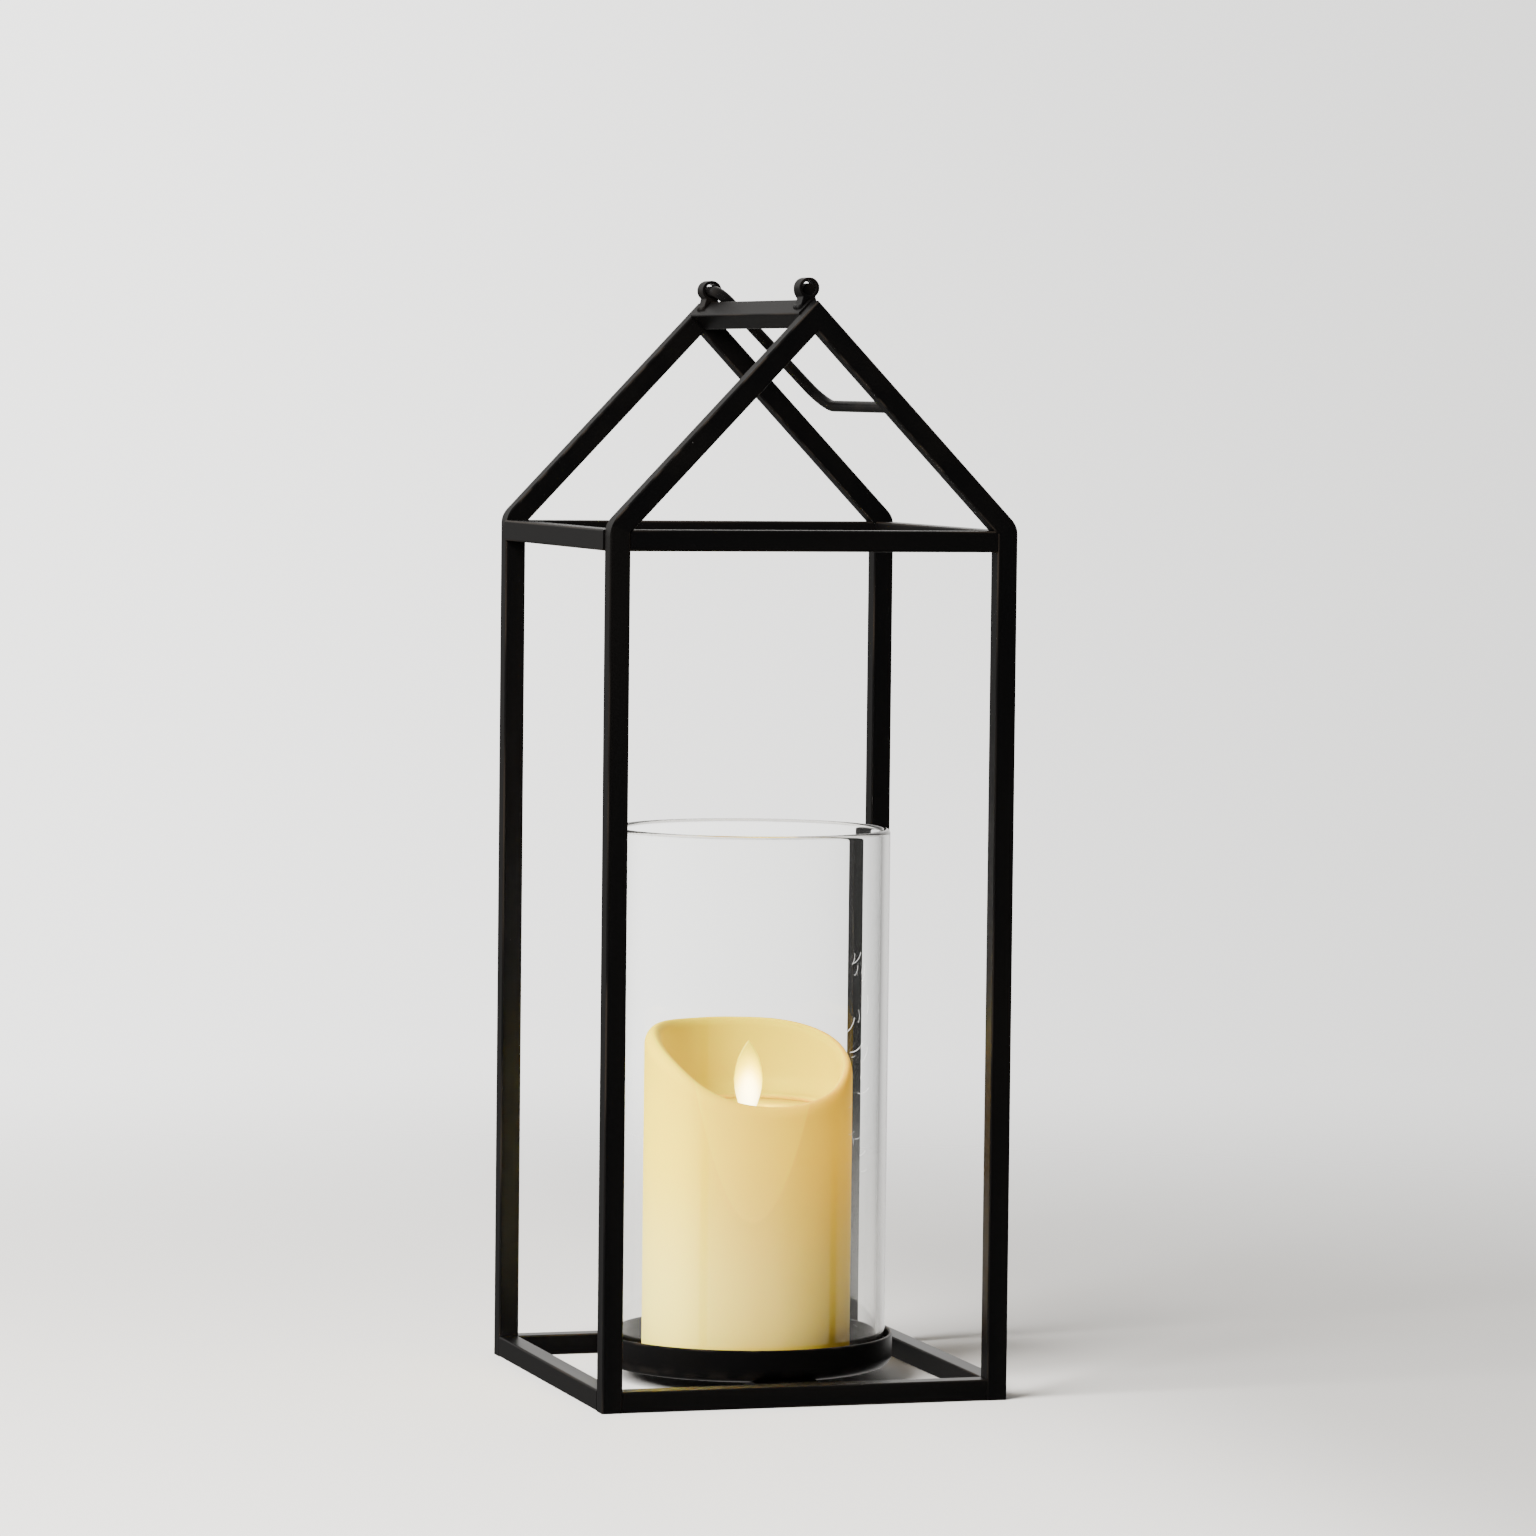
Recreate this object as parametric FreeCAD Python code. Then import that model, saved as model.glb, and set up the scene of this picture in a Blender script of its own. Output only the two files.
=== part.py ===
"""Candle lantern: a gabled square-tube frame with a swinging rod handle, a glass cylinder standing in
a round dish, and a battery candle with a wax shell and a swaying flame.

Millimetres. The origin is the middle of the footprint at floor level. +Z is up, X runs along the
front of the frame (+X to the right), and the front faces -Y.
"""
import FreeCAD, Part
import math
import os

# ---- frame of square tube -------------------------------------------------------------------------
FRAME_WIDTH = 152.0            # across the outer faces of the posts, along X
FRAME_DEPTH = 152.0            # across the outer faces of the posts, along Y
EAVE_CORNER_HEIGHT = 316.0     # where a rafter's top face meets its post's outer face
ROOF_RISE = 79.8               # from there up to where the two top faces of a gable meet
EAVE_RAIL_DROP = 1.9           # top of the eave rails below the eave corner
TUBE = 7.6                     # side of the square tube
TUBE_WALL = 1.0
TUBE_CORNER = 0.7              # outside radius along the tube's edges
EAVE_BEND = 10.0               # radius ground on the outer corner of each eave
SIDE_RAIL_PROUD = 0.6          # side eave rails stand out past the posts by this much
RIDGE_PROUD = 0.7              # top edge of the ridge bar above the apex

# ---- lugs and handle ------------------------------------------------------------------------------
LUG_DIAMETER = 7.5
LUG_BORE = 5.2
LUG_LENGTH = 7.5
LUG_RISE = 3.9                 # centre of the bore above the top edge of the ridge bar
LUG_INSET = 3.5                # outer end of a lug to the inner face of its gable
LUG_NECK = 4.6                 # width of the weld neck under the ring
LUG_FOOT = 7.6                 # width of the weld where it meets the ridge bar
ROD = 4.2                      # diameter of the handle's rod
ROD_SEAT_GAP = 0.05            # rod to the bottom of the lug's bore, where it hangs
ROD_END_INSET = 0.8            # end of the rod inside the outer face of the lug
HANDLE_REACH = 59.5            # pivot axis to the middle of the grip
ARM_INSET = 9.4                # inner end of a lug to the middle of the handle's arm
PIVOT_BEND = 6.0               # centreline radius where an arm turns into its lug
GRIP_BEND = 10.0               # centreline radius at the corners of the grip
HANDLE_REST_ANGLE = 45.0       # the folded arms lie along the ridge bar's sloping face

# ---- glass, dish and crossbar ---------------------------------------------------------------------
GLASS_DIAMETER = 102.6
GLASS_HEIGHT = 196.7
GLASS_WALL = 3.2
GLASS_FOOT_ROUND = 0.7         # radius on the ground bottom edges
GLASS_GAP = 1.6                # glass to the wall of the dish, all round
DISH_WALL = 1.2
DISH_DEPTH = 12.0              # outside height of the dish
DISH_CORNER = 4.6              # outside radius round the foot of its wall
CROSSBAR_WIDTH = 24.0
CROSSBAR_THICKNESS = 2.0
CROSSBAR_LIFT = 3.3            # underside of the crossbar above the floor

# ---- candle: cells, housing and wax ---------------------------------------------------------------
CELL_DIAMETER = 26.2
CELL_LENGTH = 50.0             # over the positive cap
CELL_CAP_DIAMETER = 6.0
CELL_CAP_HEIGHT = 1.5
CELL_CLEARANCE = 0.2
CELL_WEB = 1.2                 # wall between the two cell bores
TRAY_WALL = 1.5
CONTACT_THICKNESS = 0.4
CONTACT_WIDTH = 11.0
SPRING_LENGTH = 4.0
SPRING_DIAMETER = 9.0
SPRING_WIRE = 0.7
SPRING_TURNS = 3
HOUSING_WALL = 1.5
HOUSING_CLEARANCE = 0.3        # housing to the wax round it
WAX_WALL = 4.9
WAX_FOOT_ROUND = 1.5
BASE_RECESS = 0.5              # base of the housing above the foot of the wax
BASE_THICKNESS = 2.0
BASE_RING_WIDTH = 5.5
COVER_CLEARANCE = 0.3
COVER_LUG_HEIGHT = 1.2
COVER_LUG_REACH = 1.7          # how far a lug reaches over the base ring
COVER_LUG_HALF_ANGLE = 10.0
COVER_UNLOCK_ANGLE = 25.0
COIN_SLOT = (20.0, 2.2, 0.9)   # length, width and depth
PART_GAP = 0.2                 # general gap between neighbouring plastic parts

# ---- candle: electronics and flame ----------------------------------------------------------------
CEILING_THICKNESS = 2.0
BOARD_STANDOFF = 3.2
BOARD_THICKNESS = 1.6
BOARD_RADIUS = 26.0
BOARD_SCREW_RADIUS = 22.0      # where the two board screws stand
BOBBIN_DIAMETER = 14.0
BOBBIN_HEIGHT = 8.0
BOBBIN_FLANGE = 1.0
BOBBIN_HUB_DIAMETER = 5.0
COIL_DIAMETER = 12.6
MAGNET_GAP = 2.4
MAGNET_DIAMETER = 8.0
MAGNET_THICKNESS = 2.5
MAGNET_TO_PIVOT = 10.0
PIVOT_TO_PLATE = 5.0
PIVOT_WIRE = 0.8
PIVOT_CLEARANCE = 0.06         # radial, in the paddle's eye and in the guide
PLATE_THICKNESS = 2.0
FLAME_DIP = 1.5                # foot of the flame below the top of the plate
FLAME_HEIGHT = 25.8
FLAME_WIDTH = 11.0
FLAME_OPENING = 13.0           # width of the opening in the plate
FLAME_THICKNESS = 1.2
STEM_WIDTH = 3.2
EYE_DIAMETER = 5.2
EYE_THICKNESS = 2.4
GUIDE_RADIUS = 16.0
GUIDE_WALL = 1.5
LED_DIAMETER = 5.0
LED_FLANGE_DIAMETER = 5.8
LED_LENGTH = 8.6
LED_SETBACK = 11.5             # foot of the light, forward of the flame
LED_LIFT = 7.4                 # foot of the light above the board
LED_LEG_SPACING = 2.54
LED_LEG_DIAMETER = 0.6
LIP_BACK = 29.6                # melted lip of the wax above the plate, at the back
LIP_SIDE = 22.8
LIP_FRONT = 3.8
BOWL_FLOOR_RADIUS = 26.0
BOWL_FLOOR_THICKNESS = 1.6
LIP_THICKNESS = 5.0
BOWL_CURVE = 7.0               # radius where the bowl's floor turns up into the lip

# ---- switch and screws ----------------------------------------------------------------------------
SWITCH_LENGTH = 9.0
SWITCH_WIDTH = 3.8
SWITCH_HEIGHT = 4.0
SWITCH_TRAVEL = 2.0            # either way from the middle position
KNOB_LENGTH = 2.8
KNOB_WIDTH = 1.8
LEAD_DIAMETER = 1.2
LEAD_BEND = 2.0
LEAD_SPACING = 4.0
SCREW_HEAD_DIAMETER = 3.8
SCREW_HEAD_HEIGHT = 0.8
SCREW_DIAMETER = 1.9
SCREW_LENGTH = 6.0
SCREW_PILOT_CLEARANCE = 0.05
BASE_SCREW_ANGLES = (50.0, 130.0, 270.0)

X_AXIS = FreeCAD.Vector(1, 0, 0)
Y_AXIS = FreeCAD.Vector(0, 1, 0)
Z_AXIS = FreeCAD.Vector(0, 0, 1)
ORIGIN = FreeCAD.Vector(0, 0, 0)

# ---- places worked out from the sizes -------------------------------------------------------------
apex_height = EAVE_CORNER_HEIGHT + ROOF_RISE
half_width = FRAME_WIDTH / 2
half_depth = FRAME_DEPTH / 2
inner_x = half_width - TUBE
inner_y = half_depth - TUBE
middle_x = half_width - TUBE / 2
middle_y = half_depth - TUBE / 2
roof_angle = math.atan2(ROOF_RISE, half_width)
ridge_top = apex_height + RIDGE_PROUD
ridge_centre = ridge_top - TUBE * math.sqrt(0.5)

lug_outer_y = inner_y - LUG_INSET
lug_inner_y = lug_outer_y - LUG_LENGTH
lug_centre = ridge_top + LUG_RISE
pivot_height = lug_centre - (LUG_BORE - ROD) / 2 + ROD_SEAT_GAP
arm_y = lug_inner_y - ARM_INSET

dish_base = CROSSBAR_LIFT + CROSSBAR_THICKNESS
dish_floor = dish_base + DISH_WALL
glass_radius = GLASS_DIAMETER / 2
dish_inner_radius = glass_radius + GLASS_GAP
dish_outer_radius = dish_inner_radius + DISH_WALL
dish_inner_corner = GLASS_GAP + GLASS_FOOT_ROUND

cell_bore_radius = CELL_DIAMETER / 2 + CELL_CLEARANCE
cell_offset = cell_bore_radius + CELL_WEB / 2
cover_radius = cell_offset + cell_bore_radius + CELL_CLEARANCE
base_ring_inner = cover_radius + COVER_CLEARANCE
housing_radius = base_ring_inner + BASE_RING_WIDTH
housing_inner = housing_radius - HOUSING_WALL
wax_cavity = housing_radius + HOUSING_CLEARANCE
candle_radius = wax_cavity + WAX_WALL

base_bottom = dish_floor + BASE_RECESS
base_top = base_bottom + BASE_THICKNESS
cell_low = base_top + CONTACT_THICKNESS
cell_high = cell_low + SPRING_LENGTH
ceiling_contact = cell_high + CELL_LENGTH
ceiling_bottom = ceiling_contact + CONTACT_THICKNESS
ceiling_top = ceiling_bottom + CEILING_THICKNESS
board_bottom = ceiling_top + BOARD_STANDOFF
board_top = board_bottom + BOARD_THICKNESS
bobbin_top = board_top + BOBBIN_HEIGHT
magnet_bottom = bobbin_top + MAGNET_GAP
magnet_top = magnet_bottom + MAGNET_THICKNESS
flame_pivot = magnet_top + MAGNET_TO_PIVOT
plate_bottom = flame_pivot + PIVOT_TO_PLATE
plate_top = plate_bottom + PLATE_THICKNESS
flame_bottom = plate_top - FLAME_DIP
switch_y = housing_inner - SWITCH_WIDTH / 2 - 0.9
knob_y = switch_y + 1.1
screw_circle = (base_ring_inner + housing_radius) / 2

pieces = {}


# ---- shape helpers --------------------------------------------------------------------------------
def vec(x, y, z):
    return FreeCAD.Vector(x, y, z)


def block(x_range, y_range, z_range):
    """A box between two values on each axis."""
    corner = vec(x_range[0], y_range[0], z_range[0])
    return Part.makeBox(x_range[1] - x_range[0], y_range[1] - y_range[0],
                        z_range[1] - z_range[0], corner)


def post_of(radius, low, high, x=0.0, y=0.0):
    """An upright cylinder."""
    return Part.makeCylinder(radius, high - low, vec(x, y, low))


def ring_of(outer, inner, low, high, x=0.0, y=0.0):
    """An upright tube."""
    return post_of(outer, low, high, x, y).cut(post_of(inner, low - 1, high + 1, x, y))


def filleted_wire(corners, closed=False):
    """Straight runs between (point, radius) corners, each corner turned by an arc of its radius."""
    count = len(corners)
    turns = []
    for index, (corner, radius) in enumerate(corners):
        if radius == 0 or (not closed and index in (0, count - 1)):
            turns.append((corner, None, corner))
            continue
        back = (corners[index - 1][0] - corner).normalize()
        ahead = (corners[(index + 1) % count][0] - corner).normalize()
        half_angle = back.getAngle(ahead) / 2
        inward = (back + ahead).normalize()
        middle = corner + inward * (radius / math.sin(half_angle) - radius)
        trim = radius / math.tan(half_angle)
        turns.append((corner + back * trim, middle, corner + ahead * trim))
    edges = []
    for index, (start, middle, finish) in enumerate(turns):
        if middle is not None:
            edges.append(Part.Arc(start, middle, finish).toShape())
        if closed or index + 1 < count:
            following = turns[(index + 1) % count][0]
            if (following - finish).Length > 1e-6:
                edges.append(Part.makeLine(finish, following))
    return Part.Wire(edges)


def lathe(corners):
    """Turn a closed outline of (radius, height, corner radius) about the Z axis."""
    outline = filleted_wire([(vec(x, 0, z), fillet) for x, z, fillet in corners], closed=True)
    return Part.Face(outline).revolve(ORIGIN, Z_AXIS, 360)


def rod_along(corners, diameter):
    """A round rod that follows (point, bend radius) corners."""
    path = filleted_wire(corners)
    start = corners[0][0]
    profile = Part.Wire(Part.makeCircle(diameter / 2, start, corners[1][0] - start))
    return path.makePipeShell([profile], True, False)


def sector(inner, outer, low, high, angle, half_angle):
    """A wedge of an upright tube, centred on an angle in degrees."""
    wedge = ring_of(outer, inner, low, high)
    reach = 2 * outer
    left = math.radians(angle - half_angle)
    right = math.radians(angle + half_angle)
    fan = Part.makePolygon([vec(0, 0, low - 1),
                            vec(reach * math.cos(left), reach * math.sin(left), low - 1),
                            vec(reach * math.cos(right), reach * math.sin(right), low - 1),
                            vec(0, 0, low - 1)])
    return wedge.common(Part.Face(fan).extrude(Z_AXIS * (high - low + 2)))


def half_space(point, normal):
    """Everything on the side of a plane that its normal points to, for trimming."""
    reach = 3 * max(FRAME_WIDTH, FRAME_DEPTH, apex_height)
    slab = Part.makeBox(reach, reach, reach, vec(-reach / 2, -reach / 2, 0))
    slab.Placement = FreeCAD.Placement(point, FreeCAD.Rotation(Z_AXIS, normal))
    return slab


def square_bar(start, finish, roll=0.0):
    """A solid bar with the tube's outside shape, with rounded long edges."""
    length = (finish - start).Length
    bar = Part.makeBox(TUBE, TUBE, length, vec(-TUBE / 2, -TUBE / 2, 0))
    long_edges = [edge for edge in bar.Edges if edge.Length > length - 1e-6
                  and abs(edge.tangentAt(edge.FirstParameter).z) > 0.99]
    bar = bar.makeFillet(TUBE_CORNER, long_edges)
    turn = FreeCAD.Rotation(Z_AXIS, finish - start).multiply(FreeCAD.Rotation(Z_AXIS, roll))
    bar.Placement = FreeCAD.Placement(start, turn)
    return bar


def square_tube(start, finish, roll=0.0):
    """A length of the square tube between two points on its centreline."""
    length = (finish - start).Length
    inside = TUBE - 2 * TUBE_WALL
    bore = Part.makeBox(inside, inside, length + 2, vec(-inside / 2, -inside / 2, -1))
    turn = FreeCAD.Rotation(Z_AXIS, finish - start).multiply(FreeCAD.Rotation(Z_AXIS, roll))
    bore.Placement = FreeCAD.Placement(start, turn)
    return square_bar(start, finish, roll).cut(bore)


def mirrored(shape, axis):
    """The same piece on the other side of the middle plane."""
    return shape.mirror(ORIGIN, axis)


# ---- frame ----------------------------------------------------------------------------------------
def eave_rounding():
    """What is ground off the outer corner of the front left eave, in the gable's thickness."""
    turn = math.pi / 2 - roof_angle
    trim = EAVE_BEND * math.tan(turn / 2)
    corner = vec(-half_width, -half_depth, EAVE_CORNER_HEIGHT)
    on_post = corner - Z_AXIS * trim
    on_rafter = corner + vec(math.cos(roof_angle), 0, math.sin(roof_angle)) * trim
    wedge = Part.Face(Part.makePolygon([corner, on_post, on_rafter, corner])).extrude(Y_AXIS * TUBE)
    centre = on_post + X_AXIS * EAVE_BEND
    return wedge.cut(Part.makeCylinder(EAVE_BEND, TUBE, centre, Y_AXIS))


def gable_inner_corner():
    """Where the underside of the front left rafter meets the inner face of its post."""
    height = EAVE_CORNER_HEIGHT + TUBE * math.tan(roof_angle) - TUBE / math.cos(roof_angle)
    return vec(-inner_x, -middle_y, height)


def front_left_gable_half():
    """The front left post and its rafter, mitred together."""
    along = vec(math.cos(roof_angle), 0, math.sin(roof_angle))
    below = vec(math.sin(roof_angle), 0, -math.cos(roof_angle))
    outer = vec(-half_width, -middle_y, EAVE_CORNER_HEIGHT)
    apex = vec(0, -middle_y, apex_height)
    mitre = gable_inner_corner() - outer
    mitre_normal = vec(-mitre.z, 0, mitre.x).normalize()
    rounding = eave_rounding()

    post = square_tube(vec(-middle_x, -middle_y, 0), vec(-middle_x, -middle_y, apex_height))
    post = post.cut(half_space(outer, mitre_normal)).cut(rounding)

    rafter = square_tube(outer - along * 2 * TUBE + below * (TUBE / 2),
                         apex + along * 2 * TUBE + below * (TUBE / 2))
    rafter = rafter.cut(half_space(outer, -mitre_normal)).cut(half_space(apex, X_AXIS)).cut(rounding)
    return post, rafter


def build_frame():
    post, rafter = front_left_gable_half()
    for name, shape in (("post", post), ("rafter", rafter)):
        pieces["front_left_" + name] = shape
        pieces["front_right_" + name] = mirrored(shape, X_AXIS)
        pieces["back_left_" + name] = mirrored(shape, Y_AXIS)
        pieces["back_right_" + name] = mirrored(mirrored(shape, X_AXIS), Y_AXIS)

    upward = vec(-math.sin(roof_angle), 0, math.cos(roof_angle))
    under_rafter = half_space(gable_inner_corner(), upward)
    rail_height = EAVE_CORNER_HEIGHT - EAVE_RAIL_DROP - TUBE / 2
    for level, height, proud in (("base", TUBE / 2, 0.0), ("eave", rail_height, SIDE_RAIL_PROUD)):
        cross = square_tube(vec(-inner_x, -middle_y, height), vec(inner_x, -middle_y, height))
        cross = cross.cut(under_rafter).cut(mirrored(under_rafter, X_AXIS))
        side_x = -middle_x - proud
        side = square_tube(vec(side_x, -inner_y, height), vec(side_x, inner_y, height))
        pieces["front_" + level + "_rail"] = cross
        pieces["back_" + level + "_rail"] = mirrored(cross, Y_AXIS)
        pieces["left_" + level + "_rail"] = side
        pieces["right_" + level + "_rail"] = mirrored(side, X_AXIS)

    ridge_ends = (vec(0, -inner_y, ridge_centre), vec(0, inner_y, ridge_centre))
    pieces["ridge_bar"] = square_tube(*ridge_ends, roll=45)
    return square_bar(*ridge_ends, roll=45)


def build_lugs(ridge_outside):
    """Short rings on the ridge bar, each on its weld neck."""
    ring = Part.makeCylinder(LUG_DIAMETER / 2, LUG_LENGTH, vec(0, -lug_outer_y, lug_centre), Y_AXIS)
    hole = Part.makeCylinder(LUG_BORE / 2, LUG_LENGTH, vec(0, -lug_outer_y, lug_centre), Y_AXIS)
    foot_height = ridge_top - LUG_FOOT / 2 - TUBE_CORNER
    knee_height = ridge_top + TUBE_CORNER
    neck = [(LUG_NECK / 2, lug_centre), (LUG_NECK / 2, knee_height), (LUG_FOOT / 2, foot_height)]
    outline = [vec(x, -lug_outer_y, z) for x, z in neck]
    outline += [vec(-x, -lug_outer_y, z) for x, z in reversed(neck)]
    saddle = Part.Face(Part.makePolygon(outline + outline[:1])).extrude(Y_AXIS * LUG_LENGTH)
    lug = ring.fuse(saddle).cut(hole).cut(ridge_outside)
    pieces["front_lug"] = lug.removeSplitter()
    pieces["back_lug"] = mirrored(pieces["front_lug"], Y_AXIS)


def build_handle():
    """One rod: out of the back lug, down an arm, along the grip and back into the front lug."""
    slope = math.radians(HANDLE_REST_ANGLE)
    end_y = lug_outer_y - ROD_END_INSET

    def on_handle(y, reach):
        return vec(reach * math.cos(slope), y, pivot_height - reach * math.sin(slope))

    corners = [(on_handle(end_y, 0), 0), (on_handle(arm_y, 0), PIVOT_BEND),
               (on_handle(arm_y, HANDLE_REACH), GRIP_BEND),
               (on_handle(-arm_y, HANDLE_REACH), GRIP_BEND),
               (on_handle(-arm_y, 0), PIVOT_BEND), (on_handle(-end_y, 0), 0)]
    pieces["carry_handle"] = rod_along(corners, ROD)


# ---- dish and glass -------------------------------------------------------------------------------
def build_dish_and_glass():
    crossbar_top = CROSSBAR_LIFT + CROSSBAR_THICKNESS
    half_bar = CROSSBAR_WIDTH / 2
    pieces["dish_crossbar"] = block((-half_bar, half_bar), (-inner_y, inner_y),
                                    (CROSSBAR_LIFT, crossbar_top))

    rim = dish_base + DISH_DEPTH
    rim_round = 0.45 * DISH_WALL
    pieces["candle_dish"] = lathe([
        (0, dish_base, 0), (dish_outer_radius, dish_base, DISH_CORNER),
        (dish_outer_radius, rim, rim_round), (dish_inner_radius, rim, rim_round),
        (dish_inner_radius, dish_floor, dish_inner_corner), (0, dish_floor, 0)])

    bore = glass_radius - GLASS_WALL
    top = dish_floor + GLASS_HEIGHT
    rim_round = 0.45 * GLASS_WALL
    pieces["glass_cylinder"] = lathe([
        (bore, dish_floor, GLASS_FOOT_ROUND), (glass_radius, dish_floor, GLASS_FOOT_ROUND),
        (glass_radius, top, rim_round), (bore, top, rim_round)])


# ---- candle ---------------------------------------------------------------------------------------
def melted_lip_cutter():
    """The space above the melted lip, which curves up from the front to the back."""
    tilt = (LIP_BACK - LIP_FRONT) / 2
    bow = (LIP_BACK + LIP_FRONT) / 2 - LIP_SIDE
    reach = 1.2 * candle_radius
    line = []
    for share in (-1.2, -0.6, 0.0, 0.6, 1.2):
        height = plate_top + LIP_SIDE + tilt * share + bow * share ** 2
        line.append(vec(-reach, share * candle_radius, height))
    curve = Part.BSplineCurve()
    curve.interpolate(line)
    return curve.toShape().extrude(X_AXIS * 2 * reach).extrude(Z_AXIS * 2 * LIP_BACK)


def build_wax():
    ledge = plate_top + PART_GAP
    bowl_floor = ledge + BOWL_FLOOR_THICKNESS
    bowl_radius = candle_radius - LIP_THICKNESS
    top = plate_top + LIP_BACK + LIP_THICKNESS
    wax = lathe([
        (wax_cavity, dish_floor, 0), (candle_radius, dish_floor, WAX_FOOT_ROUND),
        (candle_radius, top, 0), (bowl_radius, top, 0), (bowl_radius, bowl_floor, BOWL_CURVE),
        (BOWL_FLOOR_RADIUS, bowl_floor, 0), (BOWL_FLOOR_RADIUS, ledge, 0), (wax_cavity, ledge, 0)])
    pieces["wax_shell"] = wax.cut(melted_lip_cutter())


def base_screw_places():
    for angle in BASE_SCREW_ANGLES:
        turn = math.radians(angle)
        yield screw_circle * math.cos(turn), screw_circle * math.sin(turn)


def build_housing():
    """The plastic cup inside the wax, open below, with bosses for the base screws."""
    shell = ring_of(housing_radius, housing_inner, base_top, plate_bottom)
    ledge = ring_of(housing_inner + 0.5, housing_inner - 2.2, ceiling_top, ceiling_top + TRAY_WALL)
    shell = shell.fuse(ledge)
    boss_radius = housing_inner - screw_circle + 1.0
    for x, y in base_screw_places():
        boss = post_of(boss_radius, base_top, base_top + SCREW_LENGTH + 1, x, y)
        shell = shell.fuse(boss.common(post_of(housing_radius, base_top, plate_bottom)))
    pilot_radius = SCREW_DIAMETER / 2 + SCREW_PILOT_CLEARANCE
    for x, y in base_screw_places():
        shell = shell.cut(post_of(pilot_radius, base_top - 1, base_top + SCREW_LENGTH, x, y))
    pieces["inner_housing"] = shell.removeSplitter()


def build_base():
    """Base ring, its screws, and the round cover that twists out from under it."""
    ring = ring_of(housing_radius, base_ring_inner, base_bottom, base_top)
    notch_outer = base_ring_inner + COVER_LUG_REACH + COVER_CLEARANCE
    for locked_angle in (0.0, 180.0):
        ring = ring.cut(sector(base_ring_inner - 1, notch_outer, base_bottom - 1, base_top + 1,
                               locked_angle - COVER_UNLOCK_ANGLE, COVER_LUG_HALF_ANGLE + 1))
    slot_half = SWITCH_TRAVEL + KNOB_LENGTH / 2 + PART_GAP
    slot_side = KNOB_WIDTH / 2 + PART_GAP
    ring = ring.cut(block((-slot_half, slot_half), (knob_y - slot_side, knob_y + slot_side),
                          (base_bottom - 1, base_top + 1)))
    head_top = base_bottom + PART_GAP + SCREW_HEAD_HEIGHT
    screws = []
    for x, y in base_screw_places():
        ring = ring.cut(post_of(SCREW_HEAD_DIAMETER / 2 + PART_GAP, base_bottom - 1, head_top, x, y))
        ring = ring.cut(post_of(SCREW_DIAMETER / 2 + PART_GAP, base_bottom, base_top + 1, x, y))
        head = post_of(SCREW_HEAD_DIAMETER / 2, base_bottom + PART_GAP, head_top, x, y)
        drive = block((x - 1.3, x + 1.3), (y - 0.25, y + 0.25), (base_bottom, base_bottom + 0.6))
        shank = post_of(SCREW_DIAMETER / 2, head_top, head_top + SCREW_LENGTH, x, y)
        screws.append(head.cut(drive).fuse(shank).removeSplitter())
    pieces["base_ring"] = ring
    pieces["base_screws"] = Part.makeCompound(screws)

    cover = post_of(cover_radius, base_bottom, base_top)
    lug_bottom = base_top + PART_GAP
    for angle in (0.0, 180.0):
        root = sector(cover_radius - 3, cover_radius, base_top - 0.5, base_top + COVER_LUG_HEIGHT,
                      angle, COVER_LUG_HALF_ANGLE)
        reach = sector(cover_radius - 1, base_ring_inner + COVER_LUG_REACH, lug_bottom,
                       base_top + COVER_LUG_HEIGHT, angle, COVER_LUG_HALF_ANGLE)
        cover = cover.fuse(root).fuse(reach)
    length, width, depth = COIN_SLOT
    cover = cover.cut(block((-length / 2, length / 2), (-width / 2, width / 2),
                            (base_bottom - 1, base_bottom + depth)))
    pieces["battery_cover"] = cover.removeSplitter()


def coil_spring(x, low, high):
    """A compression spring standing on a contact, lightly clear of what it presses on."""
    height = high - low - SPRING_WIRE - 2 * 0.05
    radius = (SPRING_DIAMETER - SPRING_WIRE) / 2
    helix = Part.makeHelix(height / SPRING_TURNS, height, radius)
    profile = Part.Wire(Part.makeCircle(SPRING_WIRE / 2, vec(radius, 0, 0), Y_AXIS))
    spring = Part.Wire(helix.Edges).makePipeShell([profile], True, True)
    spring.translate(vec(x, 0, low + SPRING_WIRE / 2 + 0.05))
    return spring


def battery_cell(x, low, cap_up):
    """One cell, with its raised positive cap at the top or at the bottom."""
    body = post_of(CELL_DIAMETER / 2, low, low + CELL_LENGTH - CELL_CAP_HEIGHT, x)
    body = body.makeFillet(0.8, [edge for edge in body.Edges if edge.Closed])
    cap_low = low + CELL_LENGTH - CELL_CAP_HEIGHT
    if not cap_up:
        body.translate(Z_AXIS * CELL_CAP_HEIGHT)
        cap_low = low
    cap = post_of(CELL_CAP_DIAMETER / 2, cap_low, cap_low + CELL_CAP_HEIGHT, x)
    return body.fuse(cap).removeSplitter()


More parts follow.
